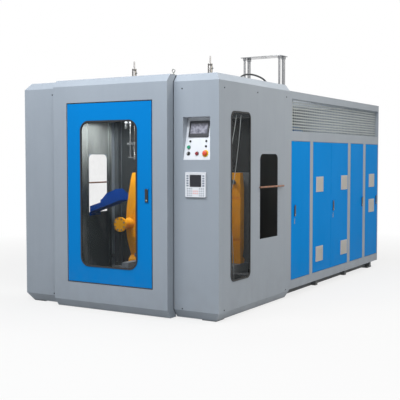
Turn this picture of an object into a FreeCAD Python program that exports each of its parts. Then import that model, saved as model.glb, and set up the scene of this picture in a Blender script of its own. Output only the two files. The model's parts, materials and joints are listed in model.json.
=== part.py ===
"""Blow moulding machine with two mould stations: cabin, rear cabinet and everything they hold.

Lengths are millimetres. X runs to the right seen from the front, Y to the rear and Z up. Positions along Y are
written from the front plane of the cabin; each sub-part's Placement then moves it back by front_plane, so that the
origin is the middle of the four anchor holes on the floor.
"""
import FreeCAD, Part
import Sketcher
import math
import os

DRIVING = {
    # whole machine
    "front_plane": -2190, "cabin_width": 2304, "cabin_height": 2250, "cabin_depth": 1510, "machine_length": 4403,
    "bevel_inset": 52, "bevel_top": 67, "bevel_low": 85, "floor_gap": 8, "skin": 3, "gap": 4,
    # centre section of the front, and its door
    "centre_width": 1346, "centre_projection": 108, "centre_seam": 6,
    "door_left": -495, "door_right": 500, "door_low": 277, "door_high": 2011, "door_thick": 28,
    "pane_left": -337, "pane_right": 340, "pane_low": 432, "pane_high": 1844, "pane_round": 100,
    "seal_width": 16, "seal_lip": 7, "seal_proud": 5, "seal_lap": 6, "seal_fold": 4, "glass": 5,
    # side of the cabin
    "tall_front": 220, "tall_rear": 610, "tall_low": 343, "tall_high": 1918, "tall_round": 60,
    "hatch_front": 816, "hatch_rear": 1222, "hatch_low": 690, "hatch_high": 1526, "hatch_round": 60,
    "row_front": 800, "row_rear": 1252, "row_low": 716, "row_pitch": 44, "row_count": 19, "row_hole": 4.5,
    "bar_height": 1200, "bar_start": 21, "bar_end": 76, "bar_radius": 9, "bar_reach": 18,
    "exit_front": 1036, "exit_rear": 1370, "exit_low": 860, "exit_row_front": 1016, "exit_row_rear": 1396,
    "exit_row_low": 936, "exit_row_pitch": 132, "exit_row_count": 5,
    # rear cabinet
    "cabinet_start": 1510, "cabinet_top": 2180, "leaf_low": 190, "leaf_high": 1663, "leaf_thick": 25,
    "frame_thick": 40, "plinth_top": 92, "mesh_low": 1768, "mesh_high": 2110, "mesh_front": 1560, "mesh_rear": 4377,
    "mesh_columns": 9, "mesh_rows": 4, "wire": 12,
    "first_front": 1556, "first_rear": 2050, "pair_front": 2140, "pair_middle": 2687, "pair_rear": 3235,
    "third_front": 3333, "third_rear": 3793, "fourth_front": 3889, "fourth_rear": 4372,
    "vent_width": 205, "vent_height": 172, "vent_high": 1187, "vent_low": 393, "vent_last": 854,
    "vent_first": 2330, "vent_second": 3110, "vent_third": 4126, "vent_slots": 8,
    # plane locks
    "lever_width": 32, "lever_length": 124, "lever_thick": 10, "lever_low": 862, "front_lever_low": 1076,
    "front_lever_middle": 448, "pivot_radius": 5,
    # base frame and feet
    "beam_wide": 80, "beam_high": 90, "beam_low": 20, "beam_line": 1020, "foot_size": 150, "anchor_hole": 9,
    "anchor_front": 130, "anchor_rear": 4250, "post": 60,
    # control console
    "console_left": 775, "console_right": 1060, "console_low": 1468, "console_high": 1858, "console_tilt": 13,
    "console_depth": 130, "console_lead": 4,
    "controller_left": 808, "controller_right": 1023, "controller_low": 1132, "controller_high": 1358,
    # mould stations
    "mould_plane": 1000, "open_half": 238, "station_offset": 480, "platen_half": 230, "platen_low": 368,
    "platen_high": 1330, "rib": 30, "hub_height": 800, "hub_front": 440, "bar_offset": 150,
    "tie_radius": 25, "tie_low": 480, "tie_high": 1230, "deck_low": 290, "deck_high": 365, "running": 0.3,
    # blow pins
    "pin_tip": 1462, "pin_top": 2537, "pin_stroke": 180, "barrel_top": 2460,
    # extruder
    "screw_height": 1800, "barrel_front": 1130, "barrel_rear": 3300, "throat": 3220, "barrel_radius": 62,
    "bore_radius": 36, "table_high": 1500, "stand_high": 2785, "stand_wide": 250, "stand_deep": 62,
    # hopper
    "mouth_high": 2440, "hopper_half": 148, "neck_half": 33, "hopper_wall": 4, "funnel_low": 2040, "funnel_high": 2170,
    # product chute
    "chute_inner": -730, "chute_high": 1007, "chute_low": 862, "chute_front": 1042, "chute_rear": 1240,
}

doc = FreeCAD.newDocument("blow_moulding_machine")
sheet = doc.addObject("Spreadsheet::Sheet", "dim")
for row, (alias, number) in enumerate(DRIVING.items(), start=1):
    sheet.set(f"A{row}", alias.replace("_", " "))
    sheet.set(f"B{row}", str(number))
    sheet.setAlias(f"B{row}", alias)
doc.recompute()


class Size:
    """A length that knows its number and the formula over the sheet's cells that gives it."""

    def __init__(self, number, formula):
        self.number = float(number)
        self.formula = formula

    def __add__(self, other):
        other = size(other)
        return Size(self.number + other.number, f"({self.formula} + {other.formula})")

    def __sub__(self, other):
        other = size(other)
        return Size(self.number - other.number, f"({self.formula} - {other.formula})")

    def __mul__(self, other):
        other = size(other)
        return Size(self.number * other.number, f"({self.formula} * {other.formula})")

    def __truediv__(self, other):
        other = size(other)
        return Size(self.number / other.number, f"({self.formula} / {other.formula})")

    def __neg__(self):
        return Size(-self.number, f"(0 - {self.formula})")

    def __radd__(self, other):
        return size(other) + self

    def __rsub__(self, other):
        return size(other) - self

    def __rmul__(self, other):
        return size(other) * self


def size(amount):
    """Any number as a Size."""
    if isinstance(amount, Size):
        return amount
    return Size(amount, f"({float(amount)})")


class Sizes:
    """The sheet's cells by alias."""

    def __getattr__(self, alias):
        return Size(DRIVING[alias], f"dim.{alias}")


S = Sizes()
HALF = S.cabin_width / 2
CENTRE = S.centre_width / 2
NORMAL = {"x": FreeCAD.Vector(1, 0, 0), "y": FreeCAD.Vector(0, 1, 0), "z": FreeCAD.Vector(0, 0, 1)}
PLANE = {"x": ("YZ_Plane", 1), "y": ("XZ_Plane", -1), "z": ("XY_Plane", 1)}
nodes = {}


# ---------------------------------------------------------------- sketches and features

def place(item, name):
    """Register an object as a sub-part: its label names its file, its Placement carries the front plane."""
    item.Label = name
    item.setExpression("Placement.Base.y", "dim.front_plane")
    nodes[name] = item
    return item


def new_body(name, kept=True):
    body = doc.addObject("PartDesign::Body", name)
    if kept:
        place(body, name)
    return body


def new_sketch(body, axis, at):
    """A sketch square to an axis at one place along it: (Y, Z) on x, (X, Z) on y and (X, Y) on z."""
    plane, sign = PLANE[axis]
    sketch = body.newObject("Sketcher::SketchObject", body.Name + "_sketch")
    origin = next(item for item in body.Origin.OriginFeatures if item.Role == plane)
    sketch.AttachmentSupport = (origin, [""])
    sketch.MapMode = "FlatFace"
    sketch.setExpression("AttachmentOffset.Base.z", (sign * size(at)).formula)
    return sketch


def fix_point(sketch, line, end, across, up):
    """Hold one end of a line at (across, up) from the sketch's origin."""
    for kind, amount in (("DistanceX", across), ("DistanceY", up)):
        amount = size(amount)
        index = sketch.addConstraint(Sketcher.Constraint(kind, -1, 1, line, end, amount.number))
        name = f"{kind}{index}"
        sketch.renameConstraint(index, name)
        sketch.setExpression(f"Constraints.{name}", amount.formula)


def polygon(*corners):
    """A closed outline of straight lines through the corners."""
    def draw(sketch):
        first = sketch.GeometryCount
        points = [FreeCAD.Vector(size(a).number, size(b).number, 0) for a, b in corners]
        count = len(points)
        for i in range(count):
            sketch.addGeometry(Part.LineSegment(points[i], points[(i + 1) % count]))
        for i in range(count):
            sketch.addConstraint(
                Sketcher.Constraint("Coincident", first + i, 2, first + (i + 1) % count, 1))
            fix_point(sketch, first + i, 1, *corners[i])
    return draw


def rectangle(left, right, low, high):
    return polygon((left, low), (right, low), (right, high), (left, high))


def rounded(left, right, low, high, radius, bottom=True):
    """A rectangle with round corners; without bottom, only its two top corners are round."""
    def draw(sketch):
        first = sketch.GeometryCount
        a, b, c, d = (size(v).number for v in (left, right, low, high))
        round_size = size(radius)
        r = round_size.number
        quarter = math.pi / 2
        foot = r if bottom else 0
        lines = [((a + foot, c), (b - foot, c)), ((b, c + foot), (b, d - r)),
                 ((b - r, d), (a + r, d)), ((a, d - r), (a, c + foot))]
        for start, end in lines:
            sketch.addGeometry(Part.LineSegment(FreeCAD.Vector(*start, 0), FreeCAD.Vector(*end, 0)))
        corners = [(1, 2, (b - r, d - r), 0), (2, 3, (a + r, d - r), 1)]
        if bottom:
            corners += [(3, 0, (a + r, c + r), 2), (0, 1, (b - r, c + r), 3)]
        for number, (before, after, centre, turn) in enumerate(corners):
            circle = Part.Circle(FreeCAD.Vector(*centre, 0), FreeCAD.Vector(0, 0, 1), r)
            arc = sketch.addGeometry(Part.ArcOfCircle(circle, turn * quarter, (turn + 1) * quarter))
            sketch.addConstraint(Sketcher.Constraint("Tangent", first + before, 2, arc, 1))
            sketch.addConstraint(Sketcher.Constraint("Tangent", arc, 2, first + after, 1))
            index = sketch.addConstraint(Sketcher.Constraint("Radius", arc, r))
            sketch.renameConstraint(index, f"Radius{index}")
            sketch.setExpression(f"Constraints.Radius{index}", round_size.formula)
        if not bottom:
            sketch.addConstraint(Sketcher.Constraint("Coincident", first + 3, 2, first, 1))
            sketch.addConstraint(Sketcher.Constraint("Coincident", first, 2, first + 1, 1))
        for kind, line, axis, amount in (("Horizontal", 0, "DistanceY", low), ("Vertical", 1, "DistanceX", right),
                                         ("Horizontal", 2, "DistanceY", high), ("Vertical", 3, "DistanceX", left)):
            sketch.addConstraint(Sketcher.Constraint(kind, first + line))
            amount = size(amount)
            index = sketch.addConstraint(Sketcher.Constraint(axis, -1, 1, first + line, 1, amount.number))
            sketch.renameConstraint(index, f"Side{index}")
            sketch.setExpression(f"Constraints.Side{index}", amount.formula)
    return draw


def disc(across, up, radius):
    def draw(sketch):
        x, y, r = size(across), size(up), size(radius)
        centre = FreeCAD.Vector(x.number, y.number, 0)
        circle = sketch.addGeometry(Part.Circle(centre, FreeCAD.Vector(0, 0, 1), r.number))
        fix_point(sketch, circle, 3, x, y)
        index = sketch.addConstraint(Sketcher.Constraint("Radius", circle, r.number))
        sketch.renameConstraint(index, f"Radius{index}")
        sketch.setExpression(f"Constraints.Radius{index}", r.formula)
    return draw


def ngon(across, up, radius, sides=8, hole=False):
    """A regular outline with its corners on the circle, or with its flats on it where it is a hole's."""
    reach = size(radius) / math.cos(math.pi / sides) if hole else size(radius)
    turns = [2 * math.pi * (i + 0.5) / sides for i in range(sides)]
    return polygon(*[(across + reach * math.cos(turn), up + reach * math.sin(turn)) for turn in turns])


def extrude(body, kind, axis, start, length, outlines, reverse):
    sketch = new_sketch(body, axis, start)
    for draw in outlines:
        draw(sketch)
    feature = body.newObject(f"PartDesign::{kind}", f"{body.Name}_{kind.lower()}")
    feature.Profile = sketch
    feature.setExpression("Length", size(length).formula)
    feature.Reversed = reverse
    return feature


def pad(body, axis, start, length, *outlines):
    """Add material from start towards the positive axis. An outline inside another is a hole."""
    return extrude(body, "Pad", axis, start, length, outlines, axis == "y")


def pocket(body, axis, start, length, *outlines):
    """Cut from start towards the positive axis."""
    return extrude(body, "Pocket", axis, start, length, outlines, axis != "y")


def turned(body, centre, outline):
    """Revolve an outline of (radius, height) about the upright line through centre."""
    sketch = new_sketch(body, "y", centre[1])
    polygon(*[(centre[0] + r, z) for r, z in outline])(sketch)
    feature = body.newObject("PartDesign::Revolution", body.Name + "_turn")
    feature.Profile = sketch
    feature.ReferenceAxis = (sketch, ["V_Axis"])
    feature.Angle = 360
    return feature


def repeat(body, feature, spacing, count, second=None):
    """Repeat a feature along its sketch's upright axis, and optionally along its level axis too."""
    pattern = body.newObject("PartDesign::LinearPattern", body.Name + "_rows")
    pattern.Originals = [feature]
    pattern.Direction = (feature.Profile[0], ["V_Axis"])
    pattern.Mode = "Spacing"
    pattern.setExpression("Offset", size(spacing).formula)
    pattern.setExpression("Occurrences", size(count).formula)
    if second:
        pattern.Direction2 = (feature.Profile[0], ["H_Axis"])
        pattern.Mode2 = "Spacing"
        pattern.setExpression("Offset2", size(second[0]).formula)
        pattern.setExpression("Occurrences2", size(second[1]).formula)
    body.Tip = pattern
    return pattern


# ---------------------------------------------------------------- primitives and groups

def bind(item, **formulas):
    for name, amount in formulas.items():
        item.setExpression(name.replace("__", "."), size(amount).formula)
    return item


def block(name, x, y, z):
    """A box between two places along each axis."""
    item = doc.addObject("Part::Box", name)
    bind(item, Length=x[1] - size(x[0]), Width=y[1] - size(y[0]), Height=z[1] - size(z[0]))
    return bind(item, Placement__Base__x=x[0], Placement__Base__y=y[0], Placement__Base__z=z[0])


def rod(name, axis, at, start, length, radius):
    """A cylinder along an axis; at gives its other two places in X, Y, Z order."""
    item = doc.addObject("Part::Cylinder", name)
    places = {"x": (start, at[0], at[1]), "y": (at[0], start, at[1]), "z": (at[0], at[1], start)}[axis]
    item.Placement.Rotation = FreeCAD.Rotation(NORMAL["z"], NORMAL[axis])
    bind(item, Radius=radius, Height=length)
    return bind(item, Placement__Base__x=places[0], Placement__Base__y=places[1], Placement__Base__z=places[2])


def stick(name, axis, at, start, length, radius, sides=8):
    """A straight piece of regular section along an axis, placed as a rod is."""
    item = doc.addObject("Part::Prism", name)
    places = {"x": (start, at[0], at[1]), "y": (at[0], start, at[1]), "z": (at[0], at[1], start)}[axis]
    item.Placement.Rotation = FreeCAD.Rotation(NORMAL["z"], NORMAL[axis])
    item.Polygon = sides
    bind(item, Circumradius=radius, Height=length)
    return bind(item, Placement__Base__x=places[0], Placement__Base__y=places[1], Placement__Base__z=places[2])


def fuse(name, items, kept=True):
    item = doc.addObject("Part::MultiFuse", name)
    item.Shapes = items
    item.Refine = True
    return place(item, name) if kept else item


def cut(name, base, tools, kept=True):
    tool = tools[0]
    if len(tools) > 1:
        tool = doc.addObject("Part::MultiFuse", name + "_tools")
        tool.Shapes = tools
    item = doc.addObject("Part::Cut", name)
    item.Base = base
    item.Tool = tool
    item.Refine = True
    return place(item, name) if kept else item


def group(name, items):
    """Separate solids under one name."""
    item = doc.addObject("Part::Compound", name)
    item.Links = items
    return place(item, name)


def mirrored(name, source):
    """The left-hand twin of an object."""
    item = doc.addObject("Part::Mirroring", name)
    item.Source = source
    item.Normal = NORMAL["x"]
    return item


# ---------------------------------------------------------------- cabin covers

def front_profile(offset, seam=0):
    """Side profile of a front cover: bevelled at the top and the bottom, one skin thick."""
    rear = offset + S.skin
    return polygon((offset + S.bevel_inset, S.floor_gap), (offset, S.bevel_low),
                   (offset, S.cabin_height - S.bevel_top), (offset + S.bevel_inset, S.cabin_height),
                   (rear + S.bevel_inset, S.cabin_height), (rear, S.cabin_height - S.bevel_top),
                   (rear, S.bevel_low), (rear + S.bevel_inset, S.floor_gap))


def mitre(body, side):
    """Trim a front cover's outer end to the bevels of the side cover."""
    edge = side * HALF
    inner = side * (HALF - S.bevel_inset)
    past = side * (HALF + 10)
    top = S.cabin_height
    pocket(body, "y", -10, S.cabin_depth,
           polygon((edge, top - S.bevel_top), (inner, top), (inner, top + 10), (past, top + 10),
                   (past, top - S.bevel_top)))
    pocket(body, "y", -10, S.cabin_depth,
           polygon((edge, S.bevel_low), (inner, S.floor_gap), (inner, 0), (past, 0), (past, S.bevel_low)))


def front_side_cover(name, side):
    """A cover beside the centre section, with a return flange in the seam next to it."""
    body = new_body(name)
    inner = side * (CENTRE + S.gap)
    pad(body, "x", inner if side > 0 else -HALF, HALF - CENTRE - S.gap, front_profile(size(0)))
    flange = inner if side > 0 else inner - S.skin
    pad(body, "x", flange, S.skin, rectangle(S.skin, 60, S.bevel_low, S.cabin_height - S.bevel_top))
    mitre(body, side)
    return body


def front_left_cover():
    front_side_cover("front_left_cover", -1)


def front_right_cover():
    body = front_side_cover("front_right_cover", 1)
    pocket(body, "y", -1, 10,
           rectangle(S.console_left, S.console_right, S.console_low, S.console_high))
    pocket(body, "y", -1, 10,
           rectangle(S.controller_left + 6, S.controller_right - 6, S.controller_low + 6, S.controller_high - 6))


def front_centre_cover():
    """The projecting middle of the front: a folded face with the doorway, closed by a plate at each end."""
    body = new_body("front_centre_cover")
    face = -S.centre_projection
    pad(body, "x", -CENTRE, S.centre_width, front_profile(face))
    for start in (-CENTRE, CENTRE - S.skin):
        pad(body, "x", start, S.skin,
            polygon((face + S.bevel_inset, S.floor_gap), (face, S.bevel_low),
                    (face, S.cabin_height - S.bevel_top), (face + S.bevel_inset, S.cabin_height),
                    (S.bevel_inset - S.centre_seam, S.cabin_height),
                    (-S.centre_seam, S.cabin_height - S.bevel_top), (-S.centre_seam, S.bevel_low),
                    (S.bevel_inset - S.centre_seam, S.floor_gap)))
    inset = 12
    for side in (-1, 1):
        strip = side * (CENTRE - inset) - (S.skin if side > 0 else 0)
        pad(body, "x", strip, S.skin, rectangle(-S.centre_seam - 20, 40, S.floor_gap + 80, S.cabin_height - 70))
        web = (CENTRE - inset - 1) if side > 0 else (-CENTRE + 1)
        pad(body, "x", web, inset, rectangle(-S.centre_seam - 20, -S.centre_seam - 17, S.floor_gap + 80,
                                             S.cabin_height - 70))
    lip = 14
    depth = S.door_thick + 12
    outer = rectangle(S.door_left - S.gap - S.skin, S.door_right + S.gap + S.skin,
                      S.door_low - S.gap - S.skin, S.door_high + S.gap + S.skin)
    doorway = rectangle(S.door_left - S.gap, S.door_right + S.gap, S.door_low - S.gap, S.door_high + S.gap)
    pad(body, "y", face + S.skin, depth, outer, doorway)
    pad(body, "y", face + S.door_thick + 2, 10, doorway,
        rectangle(S.door_left + lip, S.door_right - lip, S.door_low + lip, S.door_high - lip))
    pocket(body, "y", face - 1, S.skin + 2, doorway)
    for low in (S.door_low - S.gap - 10, S.door_high - 2):
        pocket(body, "z", low, 16 if low.number < 1000 else 18,
               ngon(S.door_left + 8, face + 8, S.pivot_radius + S.running, hole=True))


def side_cover(name, side, hatch, rows, low, pitch, count):
    """A side of the cabin: tall glazed opening, open discharge hatch and two rows of bar holes."""
    body = new_body(name)
    top = S.cabin_height
    outer = side * HALF
    inner = side * (HALF - S.skin)
    lip = S.seal_lip
    shift = side * S.bevel_inset
    pad(body, "y", S.skin, S.cabin_depth - S.skin,
        polygon((outer - shift, S.floor_gap), (outer, S.bevel_low), (outer, top - S.bevel_top),
                (outer - shift, top), (inner - shift, top), (inner, top - S.bevel_top),
                (inner, S.bevel_low), (inner - shift, S.floor_gap)))
    start = (outer if side < 0 else inner) - 1
    ends = HALF - 100 if side > 0 else -HALF - 20
    pocket(body, "x", ends, 120,
           polygon((S.skin, top - S.bevel_top), (S.skin + S.bevel_inset, top), (S.skin + S.bevel_inset, top + 10),
                   (-10, top + 10), (-10, top - S.bevel_top)))
    pocket(body, "x", ends, 120,
           polygon((S.skin, S.bevel_low), (S.skin + S.bevel_inset, S.floor_gap), (S.skin + S.bevel_inset, 0),
                   (-10, 0), (-10, S.bevel_low)))
    pocket(body, "x", start, S.skin + 2,
           rounded(S.tall_front + lip, S.tall_rear - lip, S.tall_low + lip, S.tall_high - lip,
                   S.tall_round - lip))
    pocket(body, "x", start, S.skin + 2,
           rounded(hatch[0], hatch[1], hatch[2], S.hatch_high, S.hatch_round, bottom=False))
    holes = pocket(body, "x", start, S.skin + 2,
                   *[ngon(along, low, S.row_hole, sides=6, hole=True) for along in rows])
    doc.recompute()
    repeat(body, holes, pitch, count)


def cabin_roof():
    """Flat roof between the bevels of the covers, with holes for the two blow-pin cylinders."""
    body = new_body("cabin_roof", kept=False)
    inset = S.bevel_inset + S.skin + 0.5
    side = HALF - inset
    centre = CENTRE - S.skin - 0.5
    front = -S.centre_projection + inset
    pad(body, "z", S.cabin_height - S.skin, S.skin,
        polygon((-side, inset), (-centre, inset), (-centre, front), (centre, front), (centre, inset),
                (side, inset), (side, S.cabin_depth), (-side, S.cabin_depth)),
        ngon(-S.station_offset, S.mould_plane, 28, hole=True), ngon(S.station_offset, S.mould_plane, 28, hole=True))
    return body


def cabin_rear_wall():
    """Sheet between cabin and cabinet, open where the extruder barrel passes."""
    body = new_body("cabin_rear_wall")
    side = HALF - S.skin - 56
    pad(body, "y", S.cabin_depth - S.skin, S.skin, rectangle(-side, side, 120, S.cabin_height - S.skin - 1),
        rectangle(-110, 110, S.screw_height - 110, S.screw_height + 110))


# ---------------------------------------------------------------- glazing and guard bars

def seal_ring(body, axis, start, front, rear, low, high, radius, lips=(0, 1)):
    """A rubber frame for a pane: a neck through the sheet between a first and a second lip over its faces."""
    def ring(inset):
        return rounded(front + inset, rear - inset, low + inset, high - inset, radius - inset)
    lip = ring(size(0))
    sight = ring(S.seal_width)
    pad(body, axis, start + S.seal_fold, S.glass, ring(S.seal_lip + 0.2), ring(S.seal_width - S.seal_lap))
    for number in lips:
        pad(body, axis, start + (S.seal_fold + S.glass) * number, S.seal_fold, lip, sight)


def pane(body, axis, start, front, rear, low, high, radius):
    inset = S.seal_width - S.seal_lap + 0.2
    pad(body, axis, start + S.seal_fold, S.glass,
        rounded(front + inset, rear - inset, low + inset, high - inset, radius - inset))


def side_glazing():
    spans = (S.tall_front, S.tall_rear, S.tall_low, S.tall_high, S.tall_round)
    start = HALF - S.skin - S.seal_proud
    seal = new_body("window_seal", kept=False)
    seal_ring(seal, "x", start, *spans, lips=(1,))
    group("side_window_seals", [seal, mirrored("window_seal_left", seal)])
    glass = new_body("window_glass", kept=False)
    pane(glass, "x", start, *spans)
    group("side_window_glass", [glass, mirrored("window_glass_left", glass)])


def guard_bars():
    """A round bar across each hatch, held by two studs in the rows of holes."""
    bars = []
    for side, rows in ((1, (S.row_front, S.row_rear)), (-1, (S.exit_row_front, S.exit_row_rear))):
        start = rows[0] - S.bar_start
        centre = side * (HALF + S.bar_reach)
        parts = [stick(f"bar_body_{side}", "y", (centre, S.bar_height), start, rows[1] + S.bar_end - start,
                       S.bar_radius, 12)]
        for number, along in enumerate(rows):
            low = HALF - 12 if side > 0 else -HALF - S.bar_reach
            nut = HALF - S.skin - 8 if side > 0 else -HALF + S.skin
            spot = (along, S.bar_height)
            parts.append(stick(f"bar_stud_{side}_{number}", "x", spot, low, S.bar_reach + 12, S.row_hole - 0.2, 6))
            parts.append(stick(f"bar_nut_{side}_{number}", "x", spot, nut, 8, 10, 6))
        bars.append(fuse(f"guard_bar_{side}", parts, kept=False))
    group("guard_bars", bars)


# ---------------------------------------------------------------- doors

def plane_lock(body, axis, face, across, low):
    """The low frame that a flush lever sits in, with an ear on each side of the lever's hinge."""
    half = S.lever_width / 2 + 1
    high = low + S.lever_length + 1
    outer = (across - half - 5, across + half + 5, low - 6, high + 5)
    inner = (across - half, across + half, low - 1, high)
    pivot = low + S.lever_length - 6
    if axis == "y":
        pad(body, "y", face - 4, 4, rectangle(*outer), rectangle(*inner))
        for start in (across - half - 5, across + half):
            pad(body, "x", start, 5, rectangle(face - 12, face - 4, pivot - 8, pivot + 8))
        pocket(body, "x", across - half - 3, 2 * half + 6, ngon(face - 6, pivot, 2.7, sides=6, hole=True))
    else:
        pad(body, "x", face, 4, rectangle(*outer), rectangle(*inner))
        for start in (across - half - 5, across + half):
            pad(body, "y", start, 5, rectangle(face + 4, face + 12, pivot - 8, pivot + 8))
        pocket(body, "y", across - half - 3, 2 * half + 6, ngon(face + 6, pivot, 2.7, sides=6, hole=True))


def lever(name, axis, face, across, low):
    """A flush lever with a round top end turned about a cross pin."""
    body = new_body(name)
    half = S.lever_width / 2
    pivot = low + S.lever_length - 6
    if axis == "y":
        pad(body, "x", across - half, S.lever_width,
            polygon((face - 1, low + 10), (face - 1, pivot), (face - 3, pivot + 4), (face - 9, pivot + 4),
                    (face - 11, pivot), (face - 11, low + 6), (face - 8, low), (face - 4, low)))
        pad(body, "x", across - half - 3, S.lever_width + 6, ngon(face - 6, pivot, 2.5, sides=6))
    else:
        pad(body, "y", across - half, S.lever_width,
            polygon((face + 1, low + 10), (face + 1, pivot), (face + 3, pivot + 4), (face + 9, pivot + 4),
                    (face + 11, pivot), (face + 11, low + 6), (face + 8, low), (face + 4, low)))
        pad(body, "y", across - half - 3, S.lever_width + 6, ngon(face + 6, pivot, 2.5, sides=6))


def front_door():
    """Panned sheet door with the pane's cut-out, hung on two pivot pins in its left corners."""
    body = new_body("front_door_panel")
    face = -S.centre_projection
    lip = S.seal_lip
    pad(body, "y", face, S.door_thick, rectangle(S.door_left, S.door_right, S.door_low, S.door_high))
    pocket(body, "y", face + S.skin, S.door_thick,
           rectangle(S.door_left + 20, S.door_right - 20, S.door_low + 20, S.door_high - 20))
    pocket(body, "y", face - 1, S.door_thick,
           rounded(S.pane_left + lip, S.pane_right - lip, S.pane_low + lip, S.pane_high - lip,
                   S.pane_round - lip))
    for start in (S.door_low - 12, S.door_high - 8):
        pad(body, "z", start, 20, ngon(S.door_left + 8, face + 8, S.pivot_radius))
    plane_lock(body, "y", face, S.front_lever_middle, S.front_lever_low)
    spans = (S.pane_left, S.pane_right, S.pane_low, S.pane_high, S.pane_round)
    seal = new_body("front_door_seal")
    seal_ring(seal, "y", face - S.seal_proud, *spans)
    glass = new_body("front_door_glass")
    pane(glass, "y", face - S.seal_proud, *spans)
    lever("front_door_lever", "y", face, S.front_lever_middle, S.front_lever_low)


def cabinet_leaf(name, front, rear, hinge, vents, lock):
    """A panned cabinet door; hinge is -1 when it hangs at its front edge and 1 at its rear edge."""
    body = new_body(name)
    face = HALF
    pad(body, "x", face - S.leaf_thick, S.leaf_thick, rectangle(front, rear, S.leaf_low, S.leaf_high))
    pocket(body, "x", face - S.leaf_thick - 1, S.leaf_thick + 1 - S.skin,
           rectangle(front + 18, rear - 18, S.leaf_low + 18, S.leaf_high - 18))
    edge = front + 7 if hinge < 0 else rear - 7
    for start in (S.leaf_low - 12, S.leaf_high - 8):
        pad(body, "z", start, 20, ngon(face - 7, edge, S.pivot_radius))
    half_wide = S.vent_width / 2 - 12
    half_high = S.vent_height / 2 - 12
    for along, middle in vents:
        pocket(body, "x", face - S.skin - 1, S.skin + 2,
               rectangle(along - half_wide, along + half_wide, middle - half_high, middle + half_high))
    if lock is not None:
        plane_lock(body, "x", face, lock, S.lever_low)
        lever(name.replace("_door", "_lever"), "x", face, lock, S.lever_low)
    return body


def vent_grille(name, along, middle):
    """A moulded frame with slanted-look slats, clipped on the face of a door."""
    body = new_body(name, kept=False)
    wide = S.vent_width / 2
    high = S.vent_height / 2
    pad(body, "x", HALF, 6, rectangle(along - wide, along + wide, middle - high, middle + high))
    pad(body, "x", HALF - S.leaf_thick + 6, S.leaf_thick - 6,
        rectangle(along - wide + 13, along + wide - 13, middle - high + 13, middle + high - 13))
    pitch = (S.vent_height - 28) / S.vent_slots
    slot = pocket(body, "x", HALF + 2, 6,
                  rectangle(along - wide + 14, along + wide - 14, middle - high + 14, middle - high + 14 + pitch / 2))
    doc.recompute()
    repeat(body, slot, pitch, S.vent_slots)
    return body


def cabinet_doors():
    vents = {"second_door": [(S.vent_first, S.vent_high), (S.vent_first, S.vent_low)],
             "third_door": [(S.vent_second, S.vent_high), (S.vent_second, S.vent_low)],
             "fifth_door": [(S.vent_third, S.vent_high), (S.vent_third, S.vent_last)]}
    leaves = (("first_door", S.first_front, S.first_rear, 1, S.first_front + 84),
              ("second_door", S.pair_front, S.pair_middle - 2, -1, None),
              ("third_door", S.pair_middle + 2, S.pair_rear, 1, S.pair_middle + 63),
              ("fourth_door", S.third_front, S.third_rear, -1, S.third_rear - 35),
              ("fifth_door", S.fourth_front, S.fourth_rear, -1, S.fourth_rear - 62))
    for name, front, rear, hinge, lock in leaves:
        cabinet_leaf(name, front, rear, hinge, vents.get(name, []), lock)
        if name in vents:
            grilles = [vent_grille(f"{name}_grille_{i}", *spot) for i, spot in enumerate(vents[name])]
            group(name.replace("_door", "_vents"), grilles)


# ---------------------------------------------------------------- rear cabinet

def cabinet_side(name, start, doors):
    """Welded side frame: openings for the doors and the mesh, with sockets for the pivots of hung doors."""
    body = new_body(name)
    g = S.gap
    openings = [rectangle(a - g, b + g, S.leaf_low - g, S.leaf_high + g) for a, b in (
        (S.first_front, S.first_rear), (S.pair_front, S.pair_rear),
        (S.third_front, S.third_rear), (S.fourth_front, S.fourth_rear))]
    openings.append(rectangle(S.mesh_front, S.mesh_rear, S.mesh_low, S.mesh_high))
    pad(body, "x", start, S.frame_thick,
        rectangle(S.cabinet_start + 1, S.machine_length - S.skin, S.plinth_top, S.cabinet_top), *openings)
    edges = (S.first_rear - 7, S.pair_front + 7, S.pair_rear - 7, S.third_front + 7, S.fourth_front + 7)
    for low in (S.leaf_low - g - 10, S.leaf_high + g) if doors else ():
        pocket(body, "z", low, 10,
               *[ngon(HALF - 7, edge, S.pivot_radius + S.running, hole=True) for edge in edges])


def mesh_panel(name):
    """Wire net behind the long upper opening."""
    body = new_body(name, kept=False)
    lap = 12
    outer_front = S.mesh_front - lap
    outer_low = S.mesh_low - lap
    sheet_start = HALF - S.frame_thick - 2
    pad(body, "x", sheet_start, 2,
        rectangle(outer_front, S.mesh_rear + lap, outer_low, S.mesh_high + lap))
    step_y = (S.mesh_rear - S.mesh_front) / S.mesh_columns
    step_z = (S.mesh_high - S.mesh_low) / S.mesh_rows
    slot = pocket(body, "x", sheet_start - 1, 4,
                  rectangle(S.mesh_front + S.wire / 2, S.mesh_front + step_y - S.wire / 2,
                            S.mesh_low + S.wire / 2, S.mesh_low + step_z - S.wire / 2))
    doc.recompute()
    repeat(body, slot, step_z, S.mesh_rows, (step_y, S.mesh_columns))
    return body


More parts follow.
